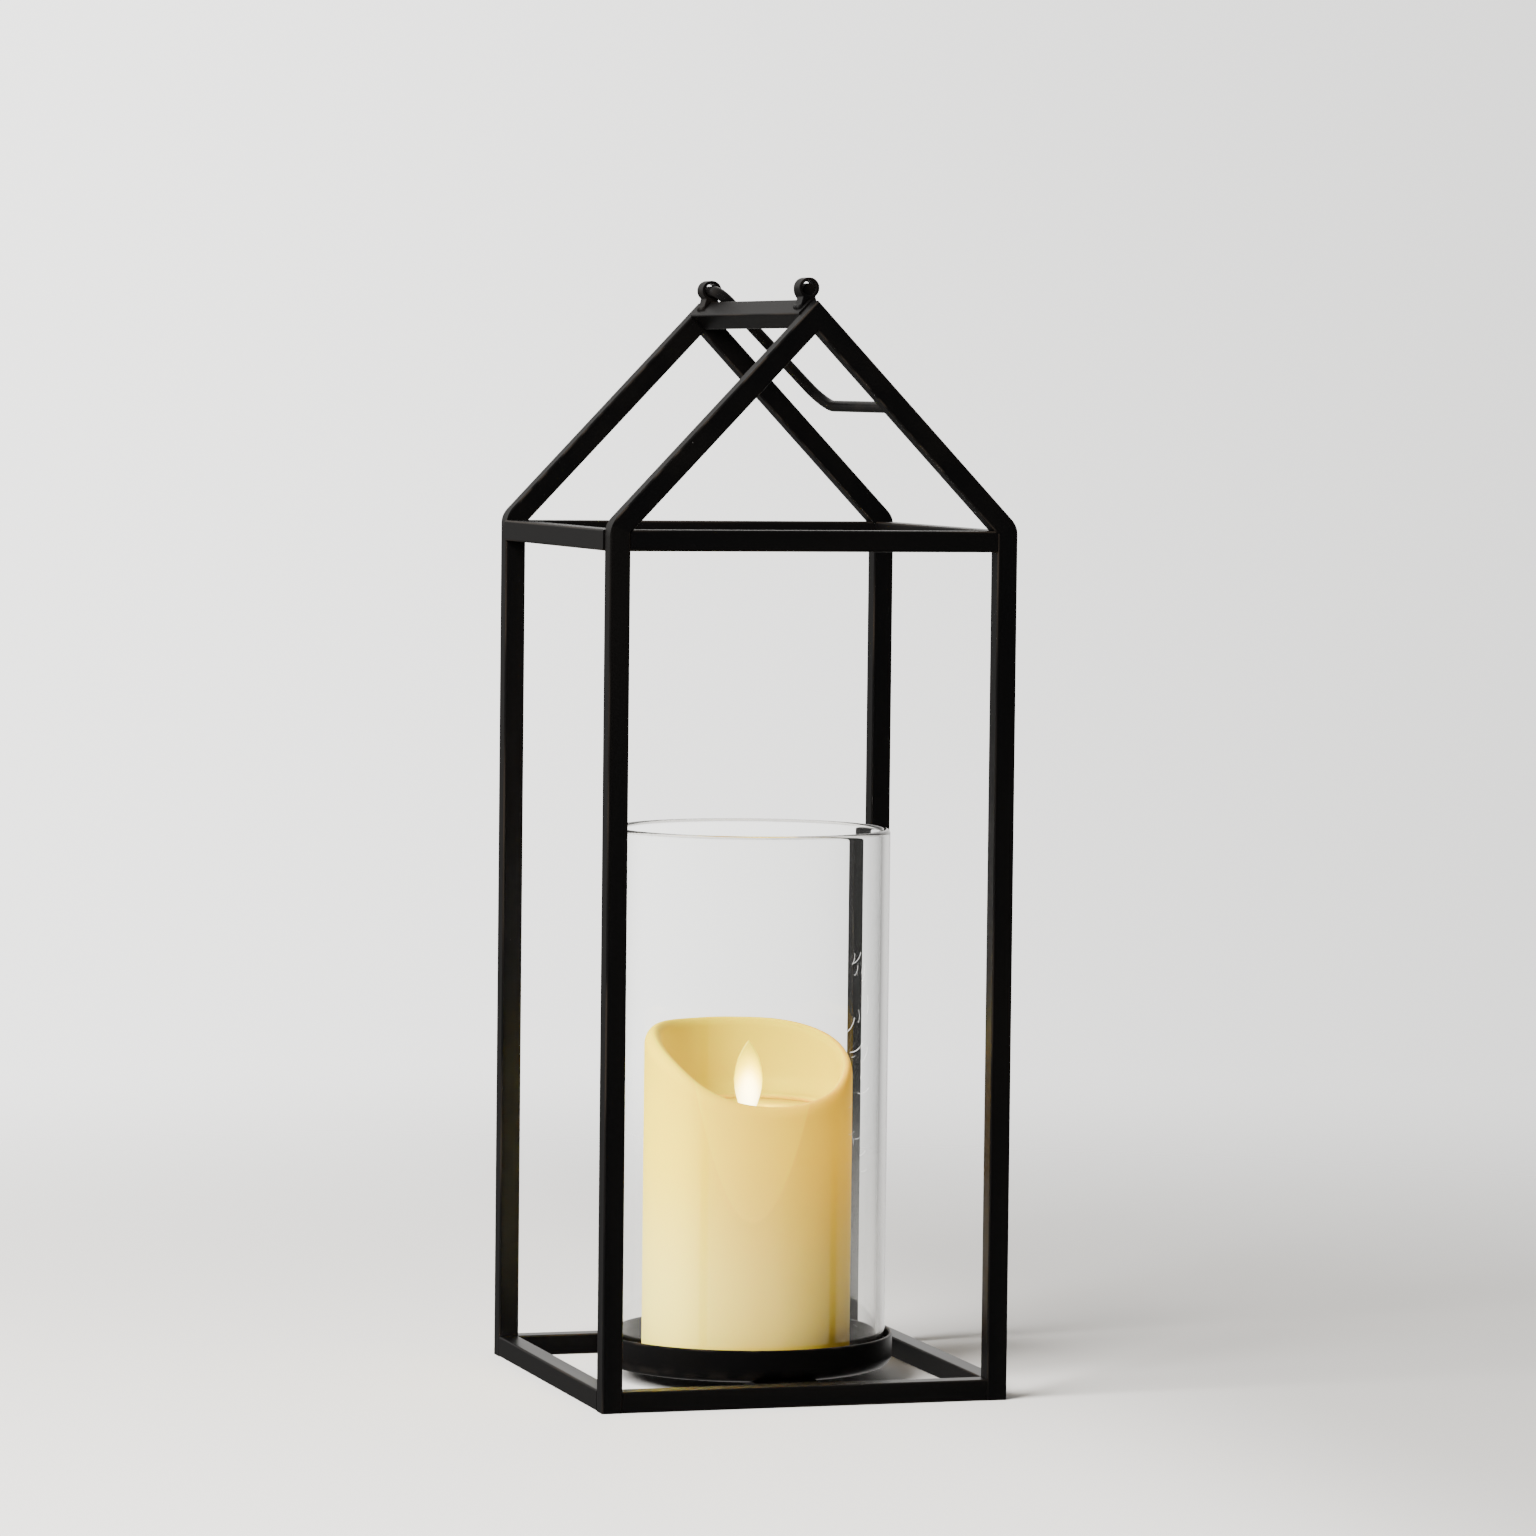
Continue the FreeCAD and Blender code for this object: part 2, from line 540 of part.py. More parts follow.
def build_battery_bay():
    """Two upright cells in their tray, one each way up, with contacts and springs at both ends."""
    left_x = -cell_offset
    right_x = cell_offset
    tray_low = base_top + COVER_LUG_HEIGHT + 3 * PART_GAP
    tray_radius = housing_inner - COVER_CLEARANCE
    tray = post_of(tray_radius, ceiling_bottom, ceiling_top)
    for x in (left_x, right_x):
        tray = tray.fuse(post_of(cell_bore_radius + TRAY_WALL, tray_low, ceiling_top, x))
    for x in (left_x, right_x):
        tray = tray.cut(post_of(cell_bore_radius, tray_low - 1, ceiling_bottom, x))
        tray = tray.cut(post_of(1.5, ceiling_bottom - 1, ceiling_top + 1, x))
    for x in (-BOARD_SCREW_RADIUS, BOARD_SCREW_RADIUS):
        tray = tray.fuse(post_of(2.5, ceiling_top, board_bottom, x))
        tray = tray.cut(post_of(SCREW_DIAMETER / 2 + SCREW_PILOT_CLEARANCE, ceiling_top - 0.5,
                                board_bottom + 1, x))
    lead_notch = LEAD_SPACING / 2 + LEAD_DIAMETER
    tray = tray.cut(block((-lead_notch, lead_notch), (switch_y - 2.5, housing_radius),
                          (ceiling_bottom - 1, ceiling_top + 1)))
    pieces["battery_tray"] = tray.removeSplitter()

    pieces["left_battery"] = battery_cell(left_x, cell_high, cap_up=True)
    pieces["right_battery"] = battery_cell(right_x, cell_low, cap_up=False)

    contacts = []
    for x in (left_x, right_x):
        plate = post_of(CONTACT_WIDTH / 2, ceiling_contact, ceiling_bottom, x)
        tab = block((x - 1, x + 1), (-0.2, 0.2), (ceiling_bottom - 0.1, board_bottom))
        contacts.append(plate.fuse(tab).removeSplitter())
    pieces["tray_contacts"] = Part.makeCompound(contacts)
    pieces["tray_spring"] = coil_spring(right_x, cell_low + CELL_LENGTH, ceiling_contact)
    pieces["cover_spring"] = coil_spring(left_x, cell_low, cell_high)
    bridge = block((left_x, right_x), (-CONTACT_WIDTH / 2, CONTACT_WIDTH / 2), (base_top, cell_low))
    for x in (left_x, right_x):
        bridge = bridge.fuse(post_of(CONTACT_WIDTH / 2, base_top, cell_low, x))
    pieces["cover_contact"] = bridge.removeSplitter()


def build_switch():
    """A three-position slide switch over a slot in the base ring, and its two leads."""
    low = base_top + PART_GAP
    high = low + SWITCH_HEIGHT
    body = block((-SWITCH_LENGTH / 2, SWITCH_LENGTH / 2),
                 (switch_y - SWITCH_WIDTH / 2, switch_y + SWITCH_WIDTH / 2), (low, high))
    track = SWITCH_TRAVEL + 1.6
    body = body.cut(block((-track, track), (knob_y - 0.5, knob_y + 0.5), (low - 1, low + 2.4)))
    pieces["switch_body"] = body
    knob = block((-KNOB_LENGTH / 2, KNOB_LENGTH / 2), (knob_y - KNOB_WIDTH / 2, knob_y + KNOB_WIDTH / 2),
                 (base_bottom, low - 0.1))
    stem = block((-1, 1), (knob_y - 0.3, knob_y + 0.3), (low - 0.2, low + 2.0))
    pieces["switch_knob"] = knob.fuse(stem).removeSplitter()

    rise = board_top + 2 * LEAD_BEND
    lead_y = switch_y - 1.0
    landing_y = BOARD_RADIUS - 3.0
    leads = []
    for x in (-LEAD_SPACING / 2, LEAD_SPACING / 2):
        leads.append(rod_along([(vec(x, lead_y, high), 0), (vec(x, lead_y, rise), LEAD_BEND),
                                (vec(x, landing_y, rise), LEAD_BEND),
                                (vec(x, landing_y, board_top), 0)], LEAD_DIAMETER))
    pieces["switch_leads"] = Part.makeCompound(leads)


def build_electronics():
    board = post_of(BOARD_RADIUS, board_bottom, board_top)
    for x in (-cell_offset, cell_offset):
        board = board.cut(block((x - 1.3, x + 1.3), (-0.5, 0.5), (board_bottom - 1, board_top + 1)))
    screws = []
    head_radius = SCREW_HEAD_DIAMETER / 2
    for x in (-BOARD_SCREW_RADIUS, BOARD_SCREW_RADIUS):
        board = board.cut(post_of(SCREW_DIAMETER / 2 + 0.15, board_bottom - 1, board_top + 1, x))
        head = post_of(head_radius, board_top, board_top + SCREW_HEAD_HEIGHT, x)
        drive = block((x - 1.3, x + 1.3), (-0.25, 0.25), (board_top + 0.4, board_top + 1))
        shank = post_of(SCREW_DIAMETER / 2, ceiling_top, board_top, x)
        screws.append(head.cut(drive).fuse(shank).removeSplitter())
    pieces["circuit_board"] = board
    pieces["board_screws"] = Part.makeCompound(screws)

    chip = block((-20, -15), (11, 15), (board_top, board_top + 1.6))
    timer_crystal = block((-19, -14), (-15, -13), (board_top, board_top + 2.5))
    capacitor = post_of(3.0, board_top, board_top + 7, 17, 13)
    resistor = block((13, 19), (-15, -13), (board_top, board_top + 1.5))
    pieces["board_components"] = Part.makeCompound([chip, timer_crystal, capacitor, resistor])

    bobbin = post_of(BOBBIN_HUB_DIAMETER / 2, board_top, bobbin_top)
    for low in (board_top, bobbin_top - BOBBIN_FLANGE):
        bobbin = bobbin.fuse(post_of(BOBBIN_DIAMETER / 2, low, low + BOBBIN_FLANGE))
    pieces["coil_bobbin"] = bobbin.removeSplitter()
    pieces["drive_coil"] = ring_of(COIL_DIAMETER / 2, BOBBIN_HUB_DIAMETER / 2,
                                   board_top + BOBBIN_FLANGE, bobbin_top - BOBBIN_FLANGE)
    pieces["flame_light"] = flame_light()


def flame_light():
    """A round light on two legs, leaning back so that its beam falls on the flame."""
    radius = LED_DIAMETER / 2
    body = post_of(LED_FLANGE_DIAMETER / 2, 0, 1).fuse(post_of(radius, 0, LED_LENGTH - radius))
    body = body.fuse(Part.makeSphere(radius, vec(0, 0, LED_LENGTH - radius)))
    foot = board_top + LED_LIFT
    aim = vec(0, LED_SETBACK, flame_bottom + FLAME_HEIGHT / 2 - foot)
    body.Placement = FreeCAD.Placement(vec(0, -LED_SETBACK, foot), FreeCAD.Rotation(Z_AXIS, aim))
    for x in (-LED_LEG_SPACING / 2, LED_LEG_SPACING / 2):
        body = body.fuse(post_of(LED_LEG_DIAMETER / 2, board_top, foot + 0.4, x, -LED_SETBACK))
    return body.removeSplitter()


def build_flame():
    """The plate in the bowl, the guide under it, and the flame paddle hung on a wire."""
    plate = post_of(housing_radius, plate_bottom, plate_top)
    half_opening = FLAME_OPENING / 2
    opening = post_of(half_opening, plate_bottom - 1, plate_top + 1)
    opening = opening.fuse(block((-half_opening, half_opening), (-LED_SETBACK, 0),
                                 (plate_bottom - 1, plate_top + 1)))
    pieces["pool_plate"] = plate.cut(opening)

    wire_half = GUIDE_RADIUS - 0.2
    guide = ring_of(GUIDE_RADIUS, GUIDE_RADIUS - GUIDE_WALL, board_top, plate_bottom)
    hole_radius = PIVOT_WIRE / 2 + PIVOT_CLEARANCE
    hole_start = vec(0, -2 * GUIDE_RADIUS, flame_pivot)
    guide = guide.cut(Part.makeCylinder(hole_radius, 4 * GUIDE_RADIUS, hole_start, Y_AXIS))
    pieces["flame_guide"] = guide
    pieces["pivot_wire"] = Part.makeCylinder(PIVOT_WIRE / 2, 2 * wire_half,
                                             vec(0, -wire_half, flame_pivot), Y_AXIS)

    half_flame = FLAME_WIDTH / 2
    right_side = [(0.0, 1.0), (0.43, 0.87), (0.75, 0.74), (1.0, 0.45), (0.8, 0.18), (0.5, 0.0)]
    right = [vec(half_flame * x, 0, flame_bottom + FLAME_HEIGHT * z) for x, z in right_side]
    left = [vec(-point.x, 0, point.z) for point in reversed(right)]
    curves = []
    for points in (right, left):
        curve = Part.BSplineCurve()
        curve.interpolate(points)
        curves.append(curve.toShape())
    curves.append(Part.makeLine(right[-1], left[0]))
    flame = Part.Face(Part.Wire(Part.sortEdges(curves)[0])).extrude(Y_AXIS * FLAME_THICKNESS)
    flame.translate(vec(0, -FLAME_THICKNESS / 2, 0))

    half_stem = FLAME_THICKNESS / 2
    stem = block((-STEM_WIDTH / 2, STEM_WIDTH / 2), (-half_stem, half_stem),
                 (magnet_top, flame_bottom + 1))
    foot = post_of(MAGNET_DIAMETER / 2 - 1, magnet_top, magnet_top + 1)
    eye_start = vec(0, -EYE_THICKNESS / 2, flame_pivot)
    eye = Part.makeCylinder(EYE_DIAMETER / 2, EYE_THICKNESS, eye_start, Y_AXIS)
    bore_start = vec(0, -EYE_THICKNESS, flame_pivot)
    bore = Part.makeCylinder(PIVOT_WIRE / 2 + PIVOT_CLEARANCE, 2 * EYE_THICKNESS, bore_start, Y_AXIS)
    pieces["flame_paddle"] = flame.fuse([stem, foot, eye]).cut(bore).removeSplitter()
    pieces["flame_magnet"] = post_of(MAGNET_DIAMETER / 2, magnet_bottom, magnet_top)


def main():
    build_lugs(build_frame())
    build_handle()
    build_dish_and_glass()
    build_wax()
    build_housing()
    build_base()
    build_battery_bay()
    build_switch()
    build_electronics()
    build_flame()
    os.makedirs("parts", exist_ok=True)
    for name, shape in pieces.items():
        shape.exportStep("parts/" + name + ".step")


main()
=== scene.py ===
"""Looks, stage and camera for a candle lantern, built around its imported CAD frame.

Metres. +Z is up, X runs along the front of the lantern, and the front faces -Y.
"""
import math

import bmesh
import bpy
from bpy.props import FloatProperty, FloatVectorProperty, IntProperty, PointerProperty
from mathutils import Matrix, Vector, noise


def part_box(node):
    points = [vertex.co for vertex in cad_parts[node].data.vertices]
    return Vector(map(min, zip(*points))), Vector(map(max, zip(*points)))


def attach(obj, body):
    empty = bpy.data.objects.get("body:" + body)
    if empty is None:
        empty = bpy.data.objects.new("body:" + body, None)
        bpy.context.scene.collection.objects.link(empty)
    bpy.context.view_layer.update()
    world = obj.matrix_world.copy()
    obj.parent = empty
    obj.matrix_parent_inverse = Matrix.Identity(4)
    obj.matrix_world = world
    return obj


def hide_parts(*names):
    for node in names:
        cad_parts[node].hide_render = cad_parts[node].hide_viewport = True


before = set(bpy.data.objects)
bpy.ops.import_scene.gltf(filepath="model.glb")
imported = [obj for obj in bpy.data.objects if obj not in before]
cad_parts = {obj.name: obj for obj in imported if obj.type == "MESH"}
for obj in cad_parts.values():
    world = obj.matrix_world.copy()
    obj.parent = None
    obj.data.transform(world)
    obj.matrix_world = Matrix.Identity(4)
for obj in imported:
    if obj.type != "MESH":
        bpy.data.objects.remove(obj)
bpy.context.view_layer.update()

bl_info = {
    "name": "Candle Lantern",
    "version": (1, 0, 0),
    "blender": (4, 5, 0),
    "location": "3D View > Sidebar > Lantern",
    "description": "Dresses the lantern's frame and builds its glass, candle, flame and stage",
    "category": "Object",
}

MM = 0.001

# ---- places read from the frame ---------------------------------------------------------------------
post_low, post_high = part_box("front_left_post")
rafter_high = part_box("front_left_rafter")[1]
ridge_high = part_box("ridge_bar")[1]
dish_low, dish_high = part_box("candle_dish")
crossbar_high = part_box("dish_crossbar")[1]
glass_low, glass_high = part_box("glass_cylinder")
wax_low, wax_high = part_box("wax_shell")
plate_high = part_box("pool_plate")[1]
paddle_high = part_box("flame_paddle")[1]
magnet_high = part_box("flame_magnet")[1]
coil_low, coil_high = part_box("drive_coil")

HALF_TUBE = (post_high.x - post_low.x) / 2
POST_MIDDLE = -(post_high.x + post_low.x) / 2
HALF_WIDTH = -post_low.x
ROOF_RISE = 79.8 * MM
ROOF_SLOPE = math.atan2(ROOF_RISE, HALF_WIDTH)
APEX = rafter_high.z
WAX_RADIUS = wax_high.x
GLASS_RADIUS = glass_high.x
GLASS_WALL = 3.2 * MM
FLAME_FOOT = plate_high.z - 1.5 * MM


# ---- node trees -------------------------------------------------------------------------------------
class Value:
    """A socket's value. Used in an expression, it adds Math nodes."""

    def __init__(self, tree, socket):
        self.tree = tree
        self.socket = socket

    def maths(self, operation, *values):
        return self.tree.node("ShaderNodeMath", {"operation": operation}, dict(enumerate(values)))

    def other(self, output):
        """Another output of the same node."""
        return Value(self.tree, self.socket.node.outputs[output])

    def __add__(self, value):
        return self.maths("ADD", self, value)

    def __radd__(self, value):
        return self.maths("ADD", value, self)

    def __sub__(self, value):
        return self.maths("SUBTRACT", self, value)

    def __rsub__(self, value):
        return self.maths("SUBTRACT", value, self)

    def __mul__(self, value):
        return self.maths("MULTIPLY", self, value)

    def __rmul__(self, value):
        return self.maths("MULTIPLY", value, self)

    def __truediv__(self, value):
        return self.maths("DIVIDE", self, value)

    def __rtruediv__(self, value):
        return self.maths("DIVIDE", value, self)

    def __pow__(self, value):
        return self.maths("POWER", self, value)

    def __abs__(self):
        return self.maths("ABSOLUTE", self)

    def least(self, value):
        return self.maths("MINIMUM", self, value)

    def most(self, value):
        return self.maths("MAXIMUM", self, value)

    def above(self, value):
        """1 where this is more than the value, else 0."""
        return self.maths("GREATER_THAN", self, value)


class Tree:
    """Adds nodes to one node tree."""

    def __init__(self, tree):
        self.tree = tree

    def node(self, kind, settings=None, sockets=None, output=0):
        """Adds a node, sets it up, fills its sockets with values or links, and gives one output."""
        made = self.tree.nodes.new(kind)
        for name, setting in (settings or {}).items():
            setattr(made, name, setting)
        for name, given in (sockets or {}).items():
            if isinstance(given, Value):
                self.tree.links.new(given.socket, made.inputs[name])
            else:
                made.inputs[name].default_value = given
        return Value(self, made.outputs[output]) if len(made.outputs) else None

    def axes(self, vector):
        """The three numbers of a vector."""
        x = self.node("ShaderNodeSeparateXYZ", None, {0: vector})
        return x, x.other("Y"), x.other("Z")

    def smooth(self, value, start, finish):
        """0 up to start, 1 from finish on, and a smooth rise between."""
        return self.node("ShaderNodeMapRange", {"interpolation_type": "SMOOTHSTEP"},
                         {"Value": value, "From Min": start, "From Max": finish})

    def bell(self, value, middle, width):
        """1 at the middle, falling away on both sides over the width."""
        return 1 / (1 + ((value - middle) / width) ** 2) ** 2

    def mix(self, share, first, second):
        """A colour between two colours, each given as three numbers or as a socket's value."""
        pair = [each if isinstance(each, Value) else (*each, 1.0) for each in (first, second)]
        return self.node("ShaderNodeMix", {"data_type": "RGBA"}, {0: share, 6: pair[0], 7: pair[1]}, 2)

    def tint(self, value, colour):
        """A colour scaled by a value."""
        return self.node("ShaderNodeVectorMath", {"operation": "SCALE"}, {0: colour, "Scale": value})


class Finish(Tree):
    """One material: its coordinates in millimetres and its surface shader."""

    def __init__(self, name):
        self.material = bpy.data.materials.new(name)
        self.material.use_nodes = True
        super().__init__(self.material.node_tree)
        self.tree.nodes.clear()
        place = self.node("ShaderNodeTexCoord", output="Object")
        self.place = self.node("ShaderNodeVectorMath", {"operation": "SCALE"},
                               {0: place, "Scale": 1 / MM})
        self.x, self.y, self.z = self.axes(self.place)

    def round_about(self, x=0.0, y=0.0):
        """The distance from an upright axis."""
        return ((self.x - x) ** 2 + (self.y - y) ** 2) ** 0.5

    def grain(self, size, stretch=(1, 1, 1), detail=2.0, roughness=0.5, seed=0.0):
        """Cloudy noise whose lumps are about size millimetres, longer along the stretched axis."""
        scale = [1 / (size * share) for share in stretch]
        place = self.node("ShaderNodeMapping", None,
                          {"Vector": self.place, "Location": (seed, seed, seed), "Scale": scale})
        return self.node("ShaderNodeTexNoise", None,
                         {"Vector": place, "Scale": 1.0, "Detail": detail, "Roughness": roughness})

    def specks(self, spacing, size, seed=0.0):
        """Small round spots, one in some of the cells of a random pattern."""
        place = self.node("ShaderNodeMapping", None, {"Vector": self.place,
                          "Location": (seed, seed, seed), "Scale": (1 / spacing,) * 3})
        distance = self.node("ShaderNodeTexVoronoi", None, {"Vector": place, "Scale": 1.0})
        chosen = self.axes(distance.other("Color"))[0]
        return (1 - self.smooth(distance, 0.4 * size / spacing, size / spacing)) * chosen.above(0.6)

    def surface(self, bumps=None, depth=0.05, **sockets):
        """Finishes the material with a Principled surface. depth is the bumps' height in mm."""
        given = {name.replace("_", " "): value for name, value in sockets.items()}
        if bumps is not None:
            given["Normal"] = self.node("ShaderNodeBump", None,
                                        {"Height": bumps, "Distance": depth * MM, "Strength": 1.0})
        shader = self.node("ShaderNodeBsdfPrincipled", None, given)
        self.node("ShaderNodeOutputMaterial", None, {"Surface": shader})
        return self.material


# ---- shared helpers ---------------------------------------------------------------------------------
def add_piece(name, mesh, body, slot, *replaced):
    """Puts a finished mesh in the scene and on its body. The slot is not used."""
    piece = bpy.data.objects.new(name, mesh)
    bpy.context.scene.collection.objects.link(piece)
    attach(piece, body)
    if replaced:
        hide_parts(*replaced)
    return piece


def dress(material, *nodes):
    """Gives CAD nodes their material."""
    for node in nodes:
        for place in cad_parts[node].material_slots:
            place.material = material


def settled(name, mesh, set_modifiers):
    """Runs modifiers on a mesh and keeps what they make as a plain mesh."""
    holder = bpy.data.objects.new(name, mesh)
    bpy.context.scene.collection.objects.link(holder)
    set_modifiers(holder)
    graph = bpy.context.evaluated_depsgraph_get()
    made = bpy.data.meshes.new_from_object(holder.evaluated_get(graph), depsgraph=graph)
    bpy.data.objects.remove(holder)
    made.name = name
    if not made.polygons:
        raise RuntimeError(name + " came out empty")
    return made


def mesh_of(name, points, edges=(), faces=()):
    mesh = bpy.data.meshes.new(name)
    mesh.from_pydata(points, edges, faces)
    mesh.update()
    return mesh


def outward(mesh, smooth=True):
    """Turns a closed mesh's faces outwards."""
    shape = bmesh.new()
    shape.from_mesh(mesh)
    bmesh.ops.recalc_face_normals(shape, faces=shape.faces)
    for face in shape.faces:
        face.smooth = smooth
    shape.to_mesh(mesh)
    shape.free()
    return mesh


def turned_shell(name, outline_at, segments):
    """A closed ring of wall whose outline, a loop of (radius, height), changes with its angle."""
    points = []
    for segment in range(segments):
        angle = 2 * math.pi * segment / segments
        for radius, height in outline_at(angle):
            points.append((radius * math.cos(angle), radius * math.sin(angle), height))
    count = len(points) // segments
    faces = []
    for segment in range(segments):
        ring = segment * count
        following = (segment + 1) % segments * count
        for step in range(count):
            after = (step + 1) % count
            faces.append((ring + step, ring + after, following + after, following + step))
    return outward(mesh_of(name, points, faces=faces))


def bend(middle, reach, start, finish, steps):
    """Points of a quarter or other part of an ellipse, in (radius, height)."""
    points = []
    for step in range(steps + 1):
        angle = math.radians(start + (finish - start) * step / steps)
        points.append((middle[0] + reach[0] * math.cos(angle), middle[1] + reach[1] * math.sin(angle)))
    return points


class Grower(Tree):
    """A Geometry Nodes tree with named inputs."""

    def __init__(self, name, inputs):
        super().__init__(bpy.data.node_groups.new(name, "GeometryNodeTree"))
        sockets = self.tree.interface
        sockets.new_socket("Geometry", in_out="INPUT", socket_type="NodeSocketGeometry")
        sockets.new_socket("Geometry", in_out="OUTPUT", socket_type="NodeSocketGeometry")
        for label, (kind, default) in inputs.items():
            made = sockets.new_socket(label, in_out="INPUT", socket_type="NodeSocket" + kind)
            made.default_value = default
        self.entry = self.node("NodeGroupInput")

    def given(self, label):
        return self.entry.other(label)

    def join_up(self, geometry, material):
        """Ends the tree with plain, smooth, painted geometry."""
        real = self.node("GeometryNodeRealizeInstances", None, {0: geometry})
        smooth = self.node("GeometryNodeSetShadeSmooth", None, {0: real})
        painted = self.node("GeometryNodeSetMaterial", None, {0: smooth, "Material": material})
        self.node("NodeGroupOutput", None, {0: painted})

    def grow(self, name, base, **values):
        """The tree's result on a base mesh, as a plain mesh."""
        def set_modifiers(holder):
            modifier = holder.modifiers.new("grow", "NODES")
            modifier.node_group = self.tree
            for item in self.tree.interface.items_tree:
                key = item.name.lower().replace(" ", "_")
                if item.in_out == "INPUT" and key in values:
                    modifier[item.identifier] = values[key]
        return settled(name, base, set_modifiers)


# ---- black steel ------------------------------------------------------------------------------------
PAINT_CLOUDS = 24           # sizes of the paint's patterns, in mm
PAINT_PEEL = 1.8
PAINT_PATCHES = 7
PEEL_DEPTH = 0.005
DUST_SPACING = 9
DUST_SIZE = 0.22
DUST_GREY = (0.4, 0.39, 0.37)
WELD_LUMPS = 7              # along each side of a lug
WELD_REACH = 3.0            # from a lug's middle to the middle of a lump, in mm
WELD_LUMP = 1.05            # radius of a lump, in mm
WELD_RISE = 0.35            # how far a lump stands above the ridge bar's sloping side, in mm


def corner_nodes(kind):
    return [f"{end}_{side}_{kind}" for end in ("front", "back") for side in ("left", "right")]


TUBE_GROUPS = {
    "posts": (corner_nodes("post"), (1, 1, 8)),
    "rafters": (corner_nodes("rafter"), (1, 1, 1)),
    "cross_eave_rails": (["front_eave_rail", "back_eave_rail"], (8, 1, 1)),
    "cross_base_rails": (["front_base_rail", "back_base_rail"], (8, 1, 1)),
    "side_eave_rails": (["left_eave_rail", "right_eave_rail"], (1, 8, 1)),
    "side_base_rails": (["left_base_rail", "right_base_rail"], (1, 8, 1)),
    "ridge": (["ridge_bar"], (1, 8, 1)),
}


def tube_section(finish, node):
    """Where a point lies across a tube, in mm from its middle along each side of its square."""
    low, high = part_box(node)
    middle = (low + high) / 2 / MM
    if node.endswith("post"):
        return abs(finish.x) - POST_MIDDLE / MM, abs(finish.y) - POST_MIDDLE / MM
    if node.endswith("rafter"):
        rise = (finish.z - APEX / MM) * math.cos(ROOF_SLOPE) + abs(finish.x) * math.sin(ROOF_SLOPE)
        return rise + HALF_TUBE / MM, abs(finish.y) - POST_MIDDLE / MM
    if node == "ridge_bar":
        rise = finish.z - middle.z
        return (finish.x + rise) * math.sqrt(0.5), (finish.x - rise) * math.sqrt(0.5)
    if node.startswith(("front", "back")):
        return abs(finish.y) - abs(middle.y), finish.z - middle.z
    return abs(finish.x) - abs(middle.x), finish.z - middle.z


def steel_paint(name, look, rubbing, stretch=(1, 1, 1)):
    """Satin black paint. rubbing gives how likely a place is to be rubbed, from 0 to 1."""
    finish = Finish(name)
    clouds = finish.grain(PAINT_CLOUDS, stretch, detail=3)
    peel = finish.grain(PAINT_PEEL, stretch, detail=1, seed=5)
    patches = finish.smooth(finish.grain(PAINT_PATCHES, stretch, detail=1, seed=2), 0.42, 0.64)
    rubbed = rubbing(finish) * patches
    warmth = finish.smooth(clouds, 0.35, 0.75) * 0.5
    colour = finish.mix(warmth, look.steel, look.steel_warm)
    colour = finish.mix(rubbed, colour, look.rub)
    dust = finish.specks(DUST_SPACING, DUST_SIZE) * look.dust
    colour = finish.mix(dust, colour, DUST_GREY)
    roughness = look.steel_roughness + (clouds - 0.5) * 0.16 + rubbed * 0.06
    return finish.surface(peel, PEEL_DEPTH, Base_Color=colour, Roughness=roughness,
                          Specular_IOR_Level=look.steel_gloss)


def tube_rubbing(node, width):
    """Rubbing along the long edges of a square tube."""
    def rubbing(finish):
        across, through = tube_section(finish, node)
        half = HALF_TUBE / MM
        return finish.smooth(abs(across).least(abs(through)), half - width / MM, half)
    return rubbing


def paint_frame(look):
    for group, (nodes, stretch) in TUBE_GROUPS.items():
        rubbing = tube_rubbing(nodes[0], look.rub_width)
        dress(steel_paint("black_steel_" + group, look, rubbing, stretch), *nodes)

    def dish_rubbing(finish):
        rim = dish_high.z / MM
        rim_worn = 1.1
        foot_middle = dish_low.z / MM + 2.0
        foot_spread = 2.0
        upper = finish.smooth(finish.z, rim - rim_worn, rim)
        lower = finish.bell(finish.z, foot_middle, foot_spread) * 0.35
        return upper.most(lower)

    def rod_rubbing(finish):
        return finish.grain(9, detail=1, seed=4) * 0.3

    dress(steel_paint("black_steel_dish", look, dish_rubbing), "candle_dish", "dish_crossbar")
    rod_paint = steel_paint("black_steel_rod", look, rod_rubbing)
    dress(rod_paint, "carry_handle", "front_lug", "back_lug")
    return rod_paint


def build_lug(node, paint):
    """A lug with the lumpy weld that holds it, melted together from its CAD ring and neck."""
    shape = bmesh.new()
    shape.from_mesh(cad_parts[node].data)
    bmesh.ops.remove_doubles(shape, verts=shape.verts, dist=0.001 * MM)
    low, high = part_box(node)
    for side in (-1, 1):
        for step in range(WELD_LUMPS):
            y = low.y + (high.y - low.y) * (step + 0.5) / WELD_LUMPS
            uneven = noise.noise(Vector((side * 3.1, y / MM, 0.5)))
            reach = (WELD_REACH + 0.35 * uneven) * MM
            place = Vector((side * reach, y, ridge_high.z - reach + WELD_RISE * MM))
            radius = (WELD_LUMP + 0.25 * uneven) * MM
            bmesh.ops.create_icosphere(shape, subdivisions=2, radius=radius,
                                       matrix=Matrix.Translation(place))
    mesh = bpy.data.meshes.new(node + "_welded")
    shape.to_mesh(mesh)
    shape.free()

    def set_modifiers(holder):
        remesh = holder.modifiers.new("melt", "REMESH")
        remesh.mode = "VOXEL"
        remesh.voxel_size = 0.2 * MM
        remesh.use_smooth_shade = True
        smooth = holder.modifiers.new("smooth", "SMOOTH")
        smooth.factor = 0.4
        smooth.iterations = 1
    made = settled(node + "_welded", mesh, set_modifiers)
    made.materials.clear()
    made.materials.append(paint)
    add_piece(node + "_welded", made, "frame", "black_steel", node)


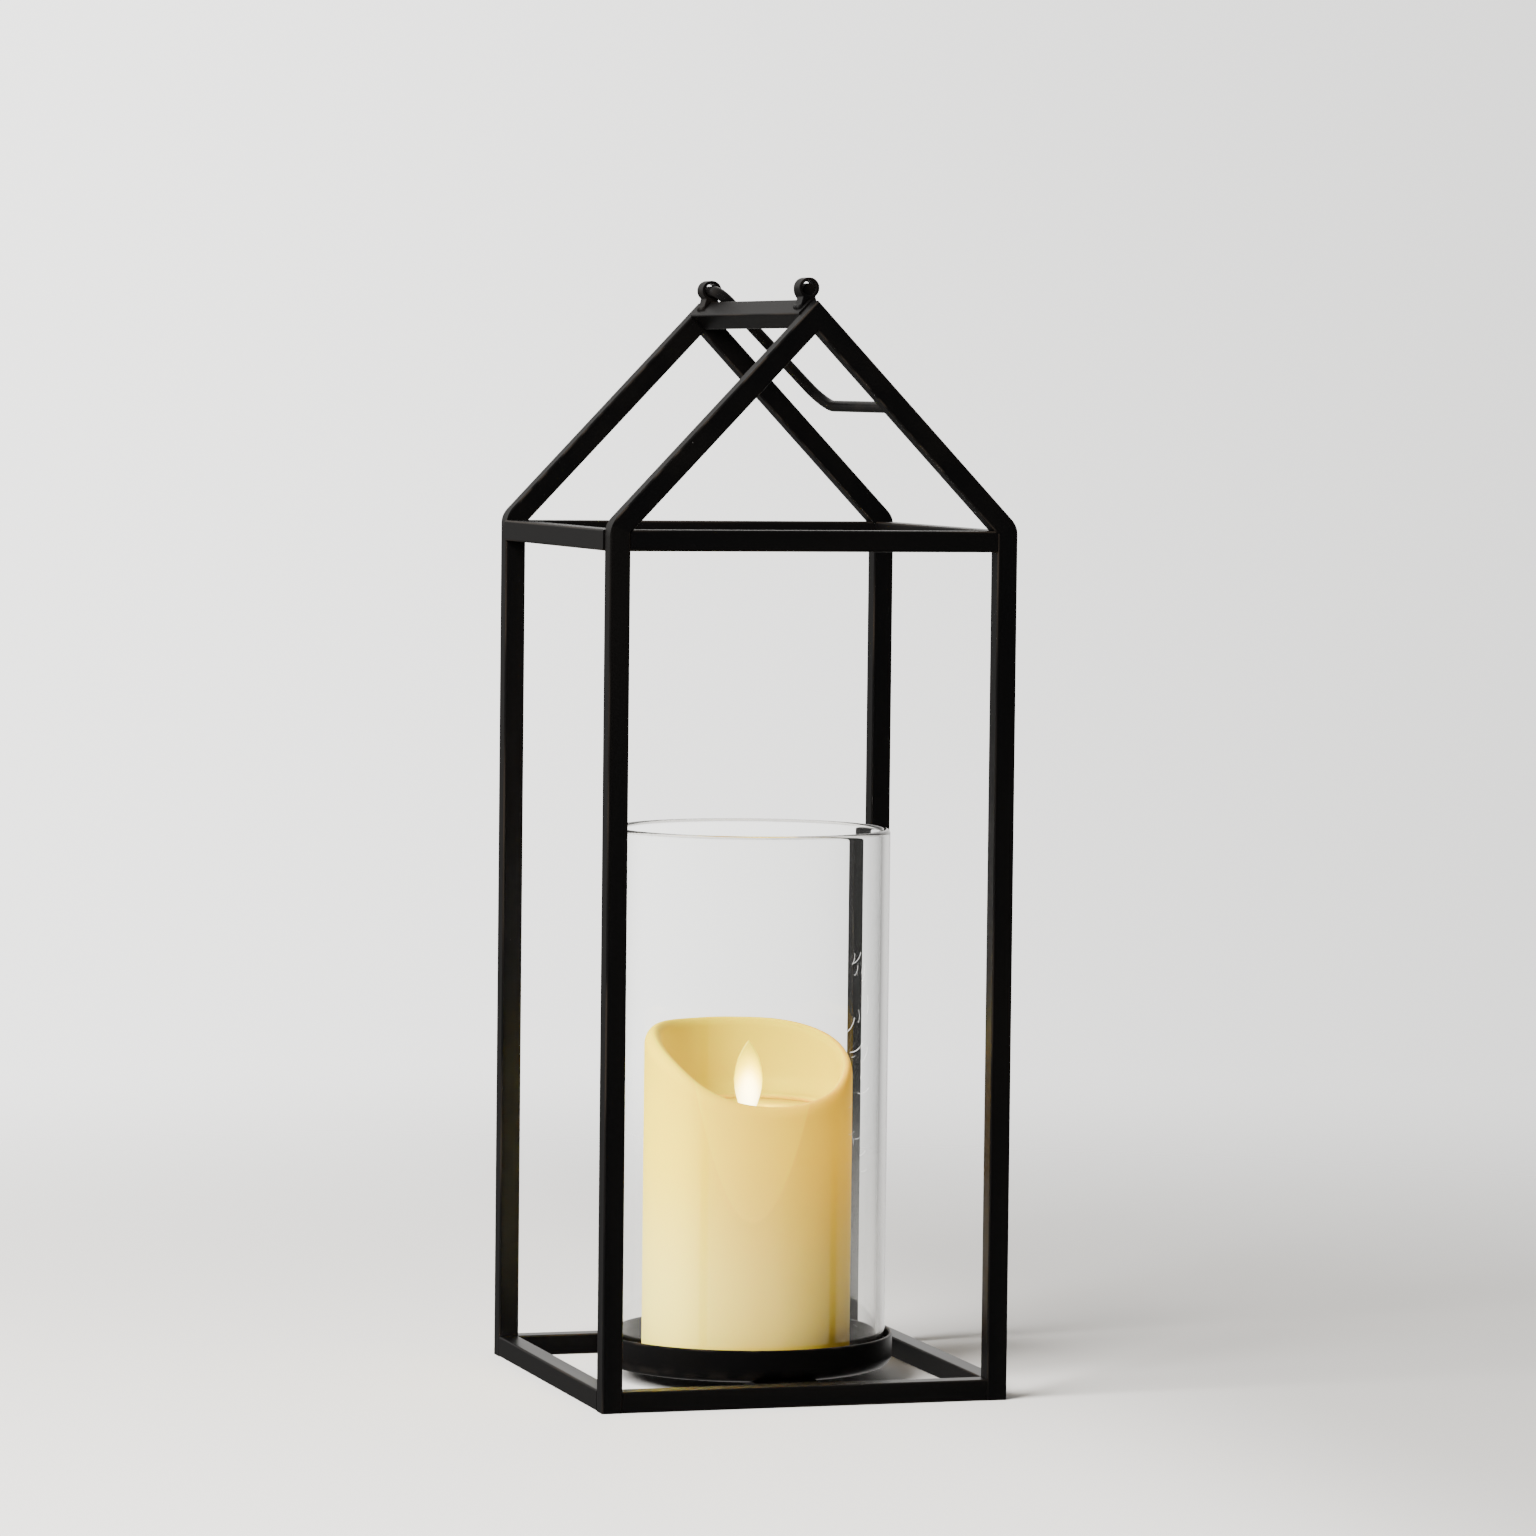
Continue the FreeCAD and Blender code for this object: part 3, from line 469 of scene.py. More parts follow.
def build_welds(paint):
    """Rippled fillet welds where the crossbar meets the base rails and where it holds the dish."""
    tree = Grower("weld_rows", {"Pitch": ("Float", 0.7 * MM), "Ripple": ("Float", 0.75 * MM),
                                "Seed": ("Int", 4)})
    line = tree.node("GeometryNodeMeshToCurve", None, {0: tree.given("Geometry")})
    spots = tree.node("GeometryNodeResampleCurve", {"mode": "LENGTH"},
                      {"Curve": line, "Length": tree.given("Pitch")})
    ripple = tree.node("GeometryNodeMeshIcoSphere", None,
                       {"Radius": tree.given("Ripple"), "Subdivisions": 2})
    size = tree.node("FunctionNodeRandomValue", {"data_type": "FLOAT"},
                     {2: 0.85, 3: 1.1, "Seed": tree.given("Seed")}, 1)
    placed = tree.node("GeometryNodeInstanceOnPoints", None,
                       {"Points": spots, "Instance": ripple, "Scale": size})
    tree.join_up(placed, paint)

    reach = crossbar_high.x - 0.8 * MM
    dish_reach = 0.5 * reach
    end_y = crossbar_high.y - 0.15 * MM
    top = crossbar_high.z + 0.1 * MM
    dish_y = dish_high.y - 3.2 * MM
    rows = []
    for side in (-1, 1):
        rows.append(((-reach, side * end_y, top), (reach, side * end_y, top)))
        rows.append(((-dish_reach, side * dish_y, top), (dish_reach, side * dish_y, top)))
    points = [point for row in rows for point in row]
    base = mesh_of("weld_lines", points, edges=[(i, i + 1) for i in range(0, len(points), 2)])
    add_piece("crossbar_welds", tree.grow("crossbar_welds", base), "frame", "black_steel")


# ---- glass ------------------------------------------------------------------------------------------
def build_glass(look):
    """The cylinder, with fire-rounded ends."""
    finish = Finish("clear_glass")
    wave_depth = 0.02
    waves = finish.grain(55, (1, 1, 2.5), detail=1)
    glass = finish.surface(waves, wave_depth, Base_Color=(*look.tint, 1), Roughness=0.0, IOR=1.47,
                           Transmission_Weight=1.0)
    inner = GLASS_RADIUS - GLASS_WALL
    middle = GLASS_RADIUS - GLASS_WALL / 2
    rim = (GLASS_WALL / 2, GLASS_WALL / 2)
    low = glass_low.z + rim[1]
    high = glass_high.z - rim[1]
    beside = 0.6 * MM
    rim_steps = 16
    segments = 256
    outline = bend((middle, low), rim, 180, 360, rim_steps)
    outline += [(GLASS_RADIUS, low + beside), (GLASS_RADIUS, high - beside)]
    outline += bend((middle, high), rim, 0, 180, rim_steps)
    outline += [(inner, high - beside), (inner, low + beside)]
    made = turned_shell("glass_chimney", lambda angle: outline, segments)
    made.materials.append(glass)
    piece = add_piece("glass_chimney", made, "glass", "clear_glass", "glass_cylinder")
    piece.visible_shadow = False
    piece.visible_diffuse = False


def build_scuffs(look):
    """Hairline scratches on the outside of the glass, where it has been handled, glowing faintly as
    painted highlights.
    """
    finish = Finish("glass_scuffs")
    wear = finish.grain(2, detail=2)
    # real scratches with a faint glow: the emission is a painted highlight where they catch the light
    scuff = finish.surface(Base_Color=(0.9, 0.9, 0.9, 1), Roughness=0.5 + wear * 0.2,
                           Alpha=0.35 + wear * 0.6, Emission_Color=(1, 1, 1, 1), Emission_Strength=0.6)
    tree = Grower("scratches", {"Density": ("Float", 9000.0), "Length": ("Float", 5.5 * MM),
                                "Width": ("Float", 0.075 * MM), "Seed": ("Int", 11)})
    patch = tree.given("Geometry")
    spots = tree.node("GeometryNodeDistributePointsOnFaces", None,
                      {"Mesh": patch, "Density": tree.given("Density"), "Seed": tree.given("Seed")})
    sweep = 1.0
    most_turn = 0.9
    shortest, longest = 0.12, 1.5
    bow = tree.node("GeometryNodeCurveArc", {"mode": "RADIUS"},
                    {"Resolution": 7, "Radius": tree.given("Length"), "Start Angle": -sweep / 2,
                     "Sweep Angle": sweep})
    wire = tree.node("GeometryNodeCurvePrimitiveCircle", None,
                     {"Resolution": 4, "Radius": tree.given("Width")})
    thread = tree.node("GeometryNodeCurveToMesh", None,
                       {"Curve": bow, "Profile Curve": wire, "Fill Caps": True})
    away = tree.node("ShaderNodeVectorMath", {"operation": "SCALE"},
                     {0: (-1, 0, 0), "Scale": tree.given("Length")})
    thread = tree.node("GeometryNodeTransform", None, {"Geometry": thread, "Translation": away})
    spin = tree.node("FunctionNodeRandomValue", {"data_type": "FLOAT"},
                     {2: -most_turn, 3: most_turn, "Seed": tree.given("Seed")}, 1)
    swing = tree.node("ShaderNodeCombineXYZ", None, {"Z": spin})
    size = tree.node("FunctionNodeRandomValue", {"data_type": "FLOAT"},
                     {2: shortest, 3: longest, "Seed": 3}, 1)
    facing = tree.node("FunctionNodeAlignRotationToVector", {"axis": "Z"},
                       {"Vector": spots.other("Normal")})
    turned = tree.node("FunctionNodeRotateRotation", {"rotation_space": "LOCAL"},
                       {"Rotation": facing, "Rotate By": swing})
    placed = tree.node("GeometryNodeInstanceOnPoints", None,
                       {"Points": spots, "Instance": thread, "Rotation": turned, "Scale": size})
    tree.join_up(placed, scuff)

    patch_low = 72
    patch_high = 158
    first_degree = -61
    degrees = 13
    reach = GLASS_RADIUS - 0.04 * MM
    steps = 8
    points = []
    for height in (patch_low * MM, patch_high * MM):
        for step in range(steps + 1):
            angle = math.radians(first_degree + degrees * step / steps)
            points.append((reach * math.cos(angle), reach * math.sin(angle), height))
    faces = [(i, i + 1, steps + 2 + i, steps + 1 + i) for i in range(steps)]
    density = look.scuffs / (math.radians(degrees) * GLASS_RADIUS * (patch_high - patch_low) * MM)
    made = tree.grow("glass_scuffs", mesh_of("scuff_patch", points, faces=faces), density=density)
    piece = add_piece("glass_scuffs", made, "glass", "clear_glass")
    piece.visible_shadow = False


# ---- candle -----------------------------------------------------------------------------------------
def crest_height(look, angle):
    """The height of the melted lip, which dips at the front and is a little uneven."""
    side = math.cos(angle)
    depth = math.sin(angle)
    rise = (look.crest_back - look.crest_front) / 2
    bow = (look.crest_back + look.crest_front) / 2 - look.crest_side
    height = look.crest_side + rise * depth + bow * depth ** 2
    lower_right = 1.9 * MM
    front_dip = 1.2 * MM
    dip_place = 0.8
    dip_width = 0.22
    uneven = 0.25 * MM
    height -= lower_right * side * (1 - depth ** 2)
    height -= front_dip * math.exp(-((depth + dip_place) / dip_width) ** 2)
    return height + uneven * noise.noise(Vector((2.2 * side, 2.2 * depth, 4.0)))


def wax_outline(look, angle):
    """The wax's section at an angle: up the outside, over the lip, down the bowl and the cavity."""
    crest = crest_height(look, angle)
    floor = plate_high.z + 1.8 * MM
    foot = wax_low.z
    foot_round = 1.5 * MM
    outer_round = ((2.7 - 0.9 * math.cos(angle)) * MM, 4.8 * MM)
    over_floor = crest - floor
    inner_round = (2.6 * MM, min(3.5 * MM, 0.6 * over_floor))
    crest_radius = WAX_RADIUS - outer_round[0]
    wall_radius = crest_radius - inner_round[0]
    bowl_edge = 26.0 * MM
    bowl_round = (wall_radius - bowl_edge, min(7.0 * MM, over_floor - inner_round[1]))
    ledge = plate_high.z + 0.2 * MM
    cavity = 33.5 * MM

    points = bend((WAX_RADIUS - foot_round, foot + foot_round), (foot_round, foot_round), -90, 0, 5)
    low = foot + foot_round
    high = crest - outer_round[1]
    steps = 26
    points += [(WAX_RADIUS, low + (high - low) * step / steps) for step in range(1, steps)]
    points += bend((crest_radius, high), outer_round, 0, 90, 10)
    points += bend((crest_radius, crest - inner_round[1]), inner_round, 90, 180, 10)[1:]
    top = crest - inner_round[1]
    bottom = floor + bowl_round[1]
    steps = 8
    points += [(wall_radius, top + (bottom - top) * step / steps) for step in range(1, steps)]
    points += bend((bowl_edge, bottom), bowl_round, 0, -90, 10)
    points += [(bowl_edge, ledge), (cavity, ledge), (cavity, foot)]
    return points


def wax_finish(look):
    """Cream wax with painted light: an emitted glow under the bowl in place of the light from inside, a
    painted lit spot, a painted pool of flame light in the bowl, a painted bright line on the lip, and
    painted shade that turns the wax darker amber to the right.
    """
    finish = Finish("ivory_wax")
    # the direction across the candle from its lit left to its shaded right, for painted shade
    right_x, right_y = 0.956, 0.292
    glow_height, glow_spread = 92, 46
    # the painted lit spot where the light inside falls on the wall
    lobe_foot, lobe_middle = 62, 0.06
    lobe_scale, lobe_curve = 38, 0.11
    bowl_inside, bowl_outside = 34.6, 36.4
    bowl_bottom = 101
    pool_spread = 11
    # where the painted bright line on the lip lies
    rim_low, rim_high = 104, 108
    rim_radius, rim_width = 35.2, 0.9
    foot_width = 2.2

    radius = finish.round_about()
    lean = (finish.x * right_x - finish.y * right_y) / (WAX_RADIUS / MM)
    clouds = finish.grain(14, detail=3)
    mottle = finish.grain(2.2, detail=3, roughness=0.6, seed=6)
    height = finish.z + (clouds - 0.5) * 6

    # painted shade: the side of the wax away from the key light
    shaded_side = finish.smooth(lean, -0.9, 0.2)
    # painted glow standing in for the light inside the wax, a little weaker on the shaded side
    glow = finish.bell(height, glow_height, glow_spread) * (1 - 0.12 * shaded_side)
    # painted light: a U-edged spot of brighter glow where the light inside falls on the wall
    lit_spot = lobe_foot + ((lean - lobe_middle) * lobe_scale) ** 2 * lobe_curve
    inside_lobe = finish.smooth(finish.z - lit_spot, -0.8, 0.8)
    glow = glow * (0.7 + 0.3 * inside_lobe) + (mottle - 0.5) * 0.05 * glow
    bowl = 1 - finish.smooth(radius, bowl_inside, bowl_outside)
    bowl = bowl * finish.smooth(finish.z, bowl_bottom, bowl_bottom + 1)
    # painted light: a pool of the flame's light on the bowl, brightest round the flame's foot
    away = (radius ** 2 + (finish.z - FLAME_FOOT / MM) ** 2) ** 0.5
    pool = 0.36 + 5.0 * finish.bell(away, 0, pool_spread)
    # painted highlight: a thin bright line where the glow shows through the thin lip
    rim = finish.bell(radius, rim_radius, rim_width) * finish.smooth(finish.z, rim_low, rim_high) * 0.6
    strength = glow * (1 - bowl) + pool * bowl + rim
    # painted shade and glow: the glow turns deeper amber and stronger towards the shaded right
    amber = finish.smooth(lean, 0.1, 0.85) * (1 - bowl)
    light = finish.mix(amber, look.glow, look.glow_amber)
    light = finish.tint(strength * (1 + 0.35 * amber), light)

    near_flame = 1 - finish.smooth(away, 8, 32)
    # painted shade: a lit copy and a darker shaded copy of the glowing wax colour, from left to right
    colour = finish.mix(shaded_side, look.wax_left, look.wax_shaded_glow)
    # the unlit wax colour shows low down, where the painted glow is weak, and less on the shaded side
    pale = (1 - finish.smooth(height, 28, 88)) * (0.9 - 0.5 * shaded_side)
    colour = finish.mix(pale, colour, look.wax)
    # painted glow: deep amber bowl colours, darkest by the flame under the painted pool of light
    bowl_colour = finish.mix(near_flame, look.wax_bowl_side, look.wax_bowl)
    colour = finish.mix(bowl, colour, bowl_colour)
    foot = finish.bell(finish.z, wax_low.z / MM + 0.6, foot_width)
    foot = foot * finish.smooth(clouds, 0.3, 0.6) * 0.7
    colour = finish.mix(foot, colour, look.wax_foot)
    flecks = finish.specks(13, 0.35, seed=3.3) * 0.55
    colour = finish.mix(flecks, colour, look.wax_fleck)
    dents = finish.grain(26, detail=2, seed=12) * 1.5 + mottle * 0.12
    return finish.surface(dents, 0.18, Base_Color=colour, Roughness=0.46 + (mottle - 0.5) * 0.2,
                          Emission_Color=light, Emission_Strength=look.glow_strength,
                          Subsurface_Weight=0.35, Subsurface_Radius=(1.0, 0.55, 0.2),
                          Subsurface_Scale=6 * MM, Specular_IOR_Level=0.12)


def build_wax(look):
    segments = 224
    made = turned_shell("melted_candle", lambda angle: wax_outline(look, angle), segments)
    made.materials.append(wax_finish(look))
    add_piece("melted_candle", made, "candle", "ivory_wax", "wax_shell")


# the flame's outline, as (share of its height, share of its half width)
FLAME_SHAPE = ((0.0, 0.5), (0.09, 0.66), (0.18, 0.8), (0.3, 0.94), (0.45, 1.0), (0.6, 0.91),
               (0.74, 0.74), (0.87, 0.44), (0.95, 0.2), (1.0, 0.0))


def flame_share(height):
    """The flame's half width at a share of its height, straight between the outline's points."""
    for (low, first), (high, second) in zip(FLAME_SHAPE, FLAME_SHAPE[1:]):
        if height <= high:
            share = (height - low) / (high - low)
            return first + (second - first) * share
    return 0.0


def build_flame(look):
    """The flame paddle: a thin teardrop lens on its stem."""
    finish = Finish("lit_flame")
    height = (finish.z - FLAME_FOOT / MM) / ((paddle_high.z - FLAME_FOOT) / MM)
    aside = abs(finish.x) / (paddle_high.x / MM)
    heart_height, heart_spread = 0.2, 0.52
    heart = finish.bell(height, heart_height, heart_spread) * finish.bell(aside, 0.0, 1.3)
    body = 0.1 + 0.12 * finish.smooth(height, 1.1, 0.2)
    streaks = finish.grain(1.1, (1, 1, 5), detail=2)
    fire = heart * 0.8 + body * 0.55 + (streaks - 0.5) * 0.03
    inside = finish.smooth(finish.z, FLAME_FOOT / MM - 2, FLAME_FOOT / MM)
    tone = finish.mix(finish.smooth(fire, 0.25, 0.75), look.flame_edge, look.flame_heart)
    light = finish.tint(fire * inside, tone)
    material = finish.surface(Base_Color=(*look.flame, 1), Roughness=0.3 + streaks * 0.1,
                              Emission_Color=light, Emission_Strength=look.flame_strength)

    half_width = paddle_high.x
    half_depth = 0.95 * MM
    rings = 44
    around = 28
    tip_reach = 0.012
    tip_depth = 0.1
    edge_depth = 0.35
    points = []
    for ring in range(rings + 1):
        share = ring / rings
        z = FLAME_FOOT + (paddle_high.z - FLAME_FOOT) * share
        reach = max(flame_share(share), tip_reach)
        depth = half_depth * min(1.0, edge_depth + reach)
        if reach == tip_reach:
            depth *= tip_depth
        for step in range(around):
            angle = 2 * math.pi * step / around
            points.append((half_width * reach * math.cos(angle), depth * math.sin(angle), z))
    faces = []
    for ring in range(rings):
        for step in range(around):
            after = (step + 1) % around
            faces.append((ring * around + step, ring * around + after,
                          (ring + 1) * around + after, (ring + 1) * around + step))
    faces.append(tuple(reversed(range(around))))
    faces.append(tuple(range(rings * around, (rings + 1) * around)))
    shape = bmesh.new()
    shape.from_mesh(outward(mesh_of("flame_lens", points, faces=faces)))

    stem_width = 3.2 * MM
    stem_depth = 1.2 * MM
    stem_height = FLAME_FOOT - magnet_high.z + 2 * MM
    stem_middle = (magnet_high.z + FLAME_FOOT) / 2
    stem = (Matrix.Translation((0, 0, stem_middle))
            @ Matrix.Diagonal((stem_width, stem_depth, stem_height, 1)))
    stem_cube = bmesh.ops.create_cube(shape, size=1.0, matrix=stem)
    edges = {edge for vert in stem_cube["verts"] for edge in vert.link_edges}
    bmesh.ops.bevel(shape, geom=list(edges), offset=0.3 * MM, segments=2, affect="EDGES", profile=0.5)
    made = bpy.data.meshes.new("flame")
    shape.to_mesh(made)
    shape.free()
    made.materials.append(material)
    piece = add_piece("flame", made, "flame", "flame_plastic", "flame_paddle")

    lamp = bpy.data.lights.new("flame_light", "POINT")
    lamp.energy = look.flame_power
    lamp.color = look.flame_shed
    lamp.shadow_soft_size = 4 * MM
    lamp_ahead = 5 * MM
    lamp_height = FLAME_FOOT + 11 * MM
    glow = bpy.data.objects.new("flame_glow", lamp)
    glow.location = (0, -lamp_ahead, lamp_height)
    bpy.context.scene.collection.objects.link(glow)
    glow.visible_camera = False
    glow.visible_transmission = False
    glow.visible_glossy = False
    glow.parent = piece


# ---- candle works -----------------------------------------------------------------------------------
NICKEL = (0.66, 0.65, 0.62)
WIRE_PITCH = 0.3 * MM


def moulded(name, colour, roughness=0.45, grain_size=0.6, depth=0.02):
    """Moulded plastic with a faint spark texture and slightly uneven colour."""
    finish = Finish(name)
    clouds = finish.grain(9, detail=3)
    shade = finish.mix(clouds * 0.35, colour, [part * 0.8 for part in colour])
    return finish.surface(finish.grain(grain_size, detail=2), depth, Base_Color=shade,
                          Roughness=roughness + (clouds - 0.5) * 0.12)


def plated(name, colour, roughness=0.28):
    """Bare or plated metal with fine marks and a few duller patches."""
    finish = Finish(name)
    marks = finish.grain(0.3, detail=2)
    dull = finish.smooth(finish.grain(4, detail=4, roughness=0.6, seed=8), 0.45, 0.7)
    shade = finish.mix(dull * 0.6, colour, [part * 0.72 for part in colour])
    return finish.surface(marks, 0.008, Base_Color=shade, Metallic=1.0,
                          Roughness=roughness + dull * 0.18)


def board_finish():
    """Green solder mask over copper tracks, with tinned pads."""
    finish = Finish("green_board")
    tracks = finish.node("ShaderNodeTexBrick", {"offset": 0.5, "squash": 1.0},
                         {"Vector": finish.place, "Scale": 0.28, "Mortar Size": 0.035,
                          "Mortar Smooth": 0.3}, "Fac")
    pads = finish.specks(3.2, 0.9, seed=1.7)
    weave = finish.grain(0.4, detail=1)
    mask = finish.mix(tracks, (0.012, 0.10, 0.035), (0.03, 0.22, 0.07))
    colour = finish.mix(pads, mask, (0.7, 0.68, 0.62))
    return finish.surface(tracks * 0.6 + pads + weave * 0.2, 0.05, Base_Color=colour,
                          Metallic=pads, Roughness=0.32 + weave * 0.1)


def cell_finish(node):
    """A plain dark sleeve with a bronze band, which stops short of the bare metal ends."""
    low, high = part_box(node)
    finish = Finish("cell_jacket_" + node)
    middle = (low + high) / 2 / MM
    half = (high.z - low.z) / 2 / MM
    away = abs(finish.z - middle.z)
    radius = finish.round_about(middle.x, middle.y)
    bare_height = 2.5
    bare_radius = 11.3
    band_start = middle.z + 10
    edge = 0.1
    metal = finish.smooth(away, half - bare_height - edge, half - bare_height + edge)
    metal = metal * (1 - finish.smooth(radius, bare_radius - edge, bare_radius + edge))
    band = finish.smooth(finish.z, band_start - edge, band_start + edge)
    scratches = finish.grain(0.5, (1, 1, 12), detail=2)
    sleeve = finish.mix(band, (0.03, 0.03, 0.035), (0.33, 0.2, 0.09))
    colour = finish.mix(metal, sleeve, NICKEL)
    return finish.surface(scratches, 0.01, Base_Color=colour, Metallic=metal.most(band * 0.6),
                          Roughness=0.26 + scratches * 0.12)


def build_winding():
    """The drive coil's wire, turn beside turn on its bobbin."""
    copper = plated("copper_wire", (0.72, 0.33, 0.15), 0.22)
    tree = Grower("winding", {"Turns": ("Int", 20), "Rise": ("Float", WIRE_PITCH),
                              "Radius": ("Float", 6 * MM), "Wire": ("Float", WIRE_PITCH / 2)})
    along = tree.node("ShaderNodeCombineXYZ", None, {"Z": tree.given("Rise")})
    stack = tree.node("GeometryNodeMeshLine", {"mode": "OFFSET"},
                      {"Count": tree.given("Turns"), "Offset": along})
    loop = tree.node("GeometryNodeCurvePrimitiveCircle", None,
                     {"Resolution": 48, "Radius": tree.given("Radius") - tree.given("Wire")})
    wire = tree.node("GeometryNodeCurvePrimitiveCircle", None,
                     {"Resolution": 6, "Radius": tree.given("Wire")})
    ring = tree.node("GeometryNodeCurveToMesh", None, {"Curve": loop, "Profile Curve": wire})
    placed = tree.node("GeometryNodeInstanceOnPoints", None, {"Points": stack, "Instance": ring})
    foot = tree.node("ShaderNodeCombineXYZ", None, {"Z": coil_low.z + WIRE_PITCH / 2})
    placed = tree.node("GeometryNodeTransform", None, {"Geometry": placed, "Translation": foot})
    tree.join_up(placed, copper)
    turns = int((coil_high.z - coil_low.z) / WIRE_PITCH)
    rings = tree.grow("drive_winding", mesh_of("winding_base", [(0, 0, 0)]), turns=turns,
                      radius=coil_high.x)
    core = plated("copper_core", (0.5, 0.22, 0.1), 0.4)
    dress(core, "drive_coil")
    add_piece("drive_winding", outward(rings), "candle", "copper_wire")


def pool_finish(look):
    """The plate at the bottom of the bowl, lit round the flame's foot."""
    finish = Finish("lit_plate")
    light_spread = 18
    near = finish.bell(finish.round_about(), 0.0, light_spread)
    grit = finish.grain(1.2, detail=2)
    glow = finish.tint(near, look.pool_glow)
    return finish.surface(grit, 0.03, Base_Color=(*look.pool, 1), Roughness=0.4 + grit * 0.15,
                          Emission_Color=glow, Emission_Strength=look.pool_strength)


def resin_finish():
    """Slightly hazy clear resin."""
    finish = Finish("clear_resin")
    haze = finish.grain(3, detail=2)
    return finish.surface(Base_Color=(0.95, 0.92, 0.84, 1), Roughness=0.08 + haze * 0.1,
                          Transmission_Weight=0.6, IOR=1.5)


def dress_works(look):
    """Materials for the parts inside and under the candle."""
    ivory = moulded("ivory_plastic", (0.80, 0.70, 0.48))
    dress(ivory, "base_ring", "battery_cover", "inner_housing")
    dress(pool_finish(look), "pool_plate")
    black = moulded("black_plastic", (0.02, 0.02, 0.022), 0.4)
    dress(black, "battery_tray", "flame_guide", "switch_body", "coil_bobbin", "switch_knob",
          "board_components")
    nickel = plated("nickel_steel", NICKEL)
    dress(nickel, "pivot_wire", "tray_contacts", "tray_spring", "cover_contact", "cover_spring",
          "base_screws", "board_screws", "flame_magnet")
    dress(board_finish(), "circuit_board")
    for node in ("left_battery", "right_battery"):
        dress(cell_finish(node), node)
    dress(moulded("red_lead", (0.42, 0.02, 0.015), 0.35, 1.5), "switch_leads")
    dress(resin_finish(), "flame_light")


# ---- stage ------------------------------------------------------------------------------------------
def build_world(look):
    """A pale studio: a bright backdrop behind, and darkness in front for the black paint to mirror."""
    world = bpy.data.worlds.new("studio")
    world.use_nodes = True
    bpy.context.scene.world = world
    world.node_tree.nodes.clear()
    tree = Tree(world.node_tree)
    towards = tree.node("ShaderNodeTexCoord", output="Generated")
    x, y, z = tree.axes(towards)
    ray = tree.node("ShaderNodeLightPath", output="Is Camera Ray")
    mirrored = ray.other("Glossy Depth").above(0.5)
    through = ray.other("Is Transmission Ray") * (1 - mirrored)
    seen = ray.most(through)

    dimming_at_right = 0.48
    gain_upwards = 0.25
    gain_through_glass = 0.22
    backdrop = look.backdrop * (1 - dimming_at_right * tree.smooth(x, 0.12, 0.46))
    backdrop = backdrop * (1 + gain_upwards * z) * (1 + gain_through_glass * through)
    backdrop = tree.tint(backdrop, (1.0, 0.992, 0.972))

    everywhere = 0.06
    back_wall = 0.12 + 0.78 * tree.smooth(z, -0.03, 0.1)
    left_wall = 0.5
    ceiling = 0.45
    room = everywhere + back_wall * tree.smooth(y, -0.25, 0.8)
    room = room + left_wall * tree.smooth(0 - x, -0.2, 1.0)
    room = room + ceiling * tree.smooth(z, -0.1, 1.0)
    glare = look.glare * tree.smooth(x, 0.05, 0.3) * tree.smooth(y, 0.5, 0.8)
    room = look.room * room + glare * mirrored
    room = tree.tint(room, (1.0, 0.98, 0.95))
    light = tree.mix(seen, room, backdrop)
    shader = tree.node("ShaderNodeBackground", None, {"Color": light, "Strength": 1.0})
    tree.node("ShaderNodeOutputWorld", None, {"Surface": shader})


def build_floor(look):
    """A pale table top that fades into the backdrop, with a painted soft shadow darkening it to the
    right.
    """
    finish = Finish("pale_floor")
    away = finish.round_about()
    grain = finish.grain(90, detail=3)
    shade = finish.mix(grain * 0.25, look.floor, [part * 0.96 for part in look.floor])
    # painted shadow: the floor darkens towards the right, where the lantern's soft shadow falls
    painted_shadow = finish.smooth(finish.x, 10, 200) * look.painted_floor_shadow
    shade = finish.mix(painted_shadow, shade, (0, 0, 0))
    fade = 1 - finish.smooth(away, look.floor_fade_start / MM, look.floor_fade_end / MM)
    material = finish.surface(Base_Color=shade, Roughness=0.62 + grain * 0.1, Alpha=fade,
                              Specular_IOR_Level=0.15)
    shape = bmesh.new()
    below_feet = Matrix.Translation((0, 0, -0.1 * MM))
    bmesh.ops.create_circle(shape, cap_ends=True, segments=96, radius=look.floor_fade_end * 1.05,
                            matrix=below_feet)
    mesh = bpy.data.meshes.new("floor")
    shape.to_mesh(mesh)
    shape.free()
    mesh.materials.append(material)
    floor = bpy.data.objects.new("floor", mesh)
    floor.visible_glossy = False
    bpy.context.scene.collection.objects.link(floor)


def add_key_light(look):
    """A large soft light at the left, aimed at the candle."""
    target = Vector((0, 0, 0.12))
    place = Vector(look.key_place)
    lamp = bpy.data.lights.new("key", "AREA")
    lamp.shape = "SQUARE"
    lamp.size = look.key_size
    lamp.energy = look.key_power
    lamp.color = (1.0, 0.985, 0.96)
    panel = bpy.data.objects.new("key", lamp)
    panel.location = place
    panel.rotation_euler = (target - place).to_track_quat("-Z", "Y").to_euler()
    panel.visible_glossy = False
    bpy.context.scene.collection.objects.link(panel)


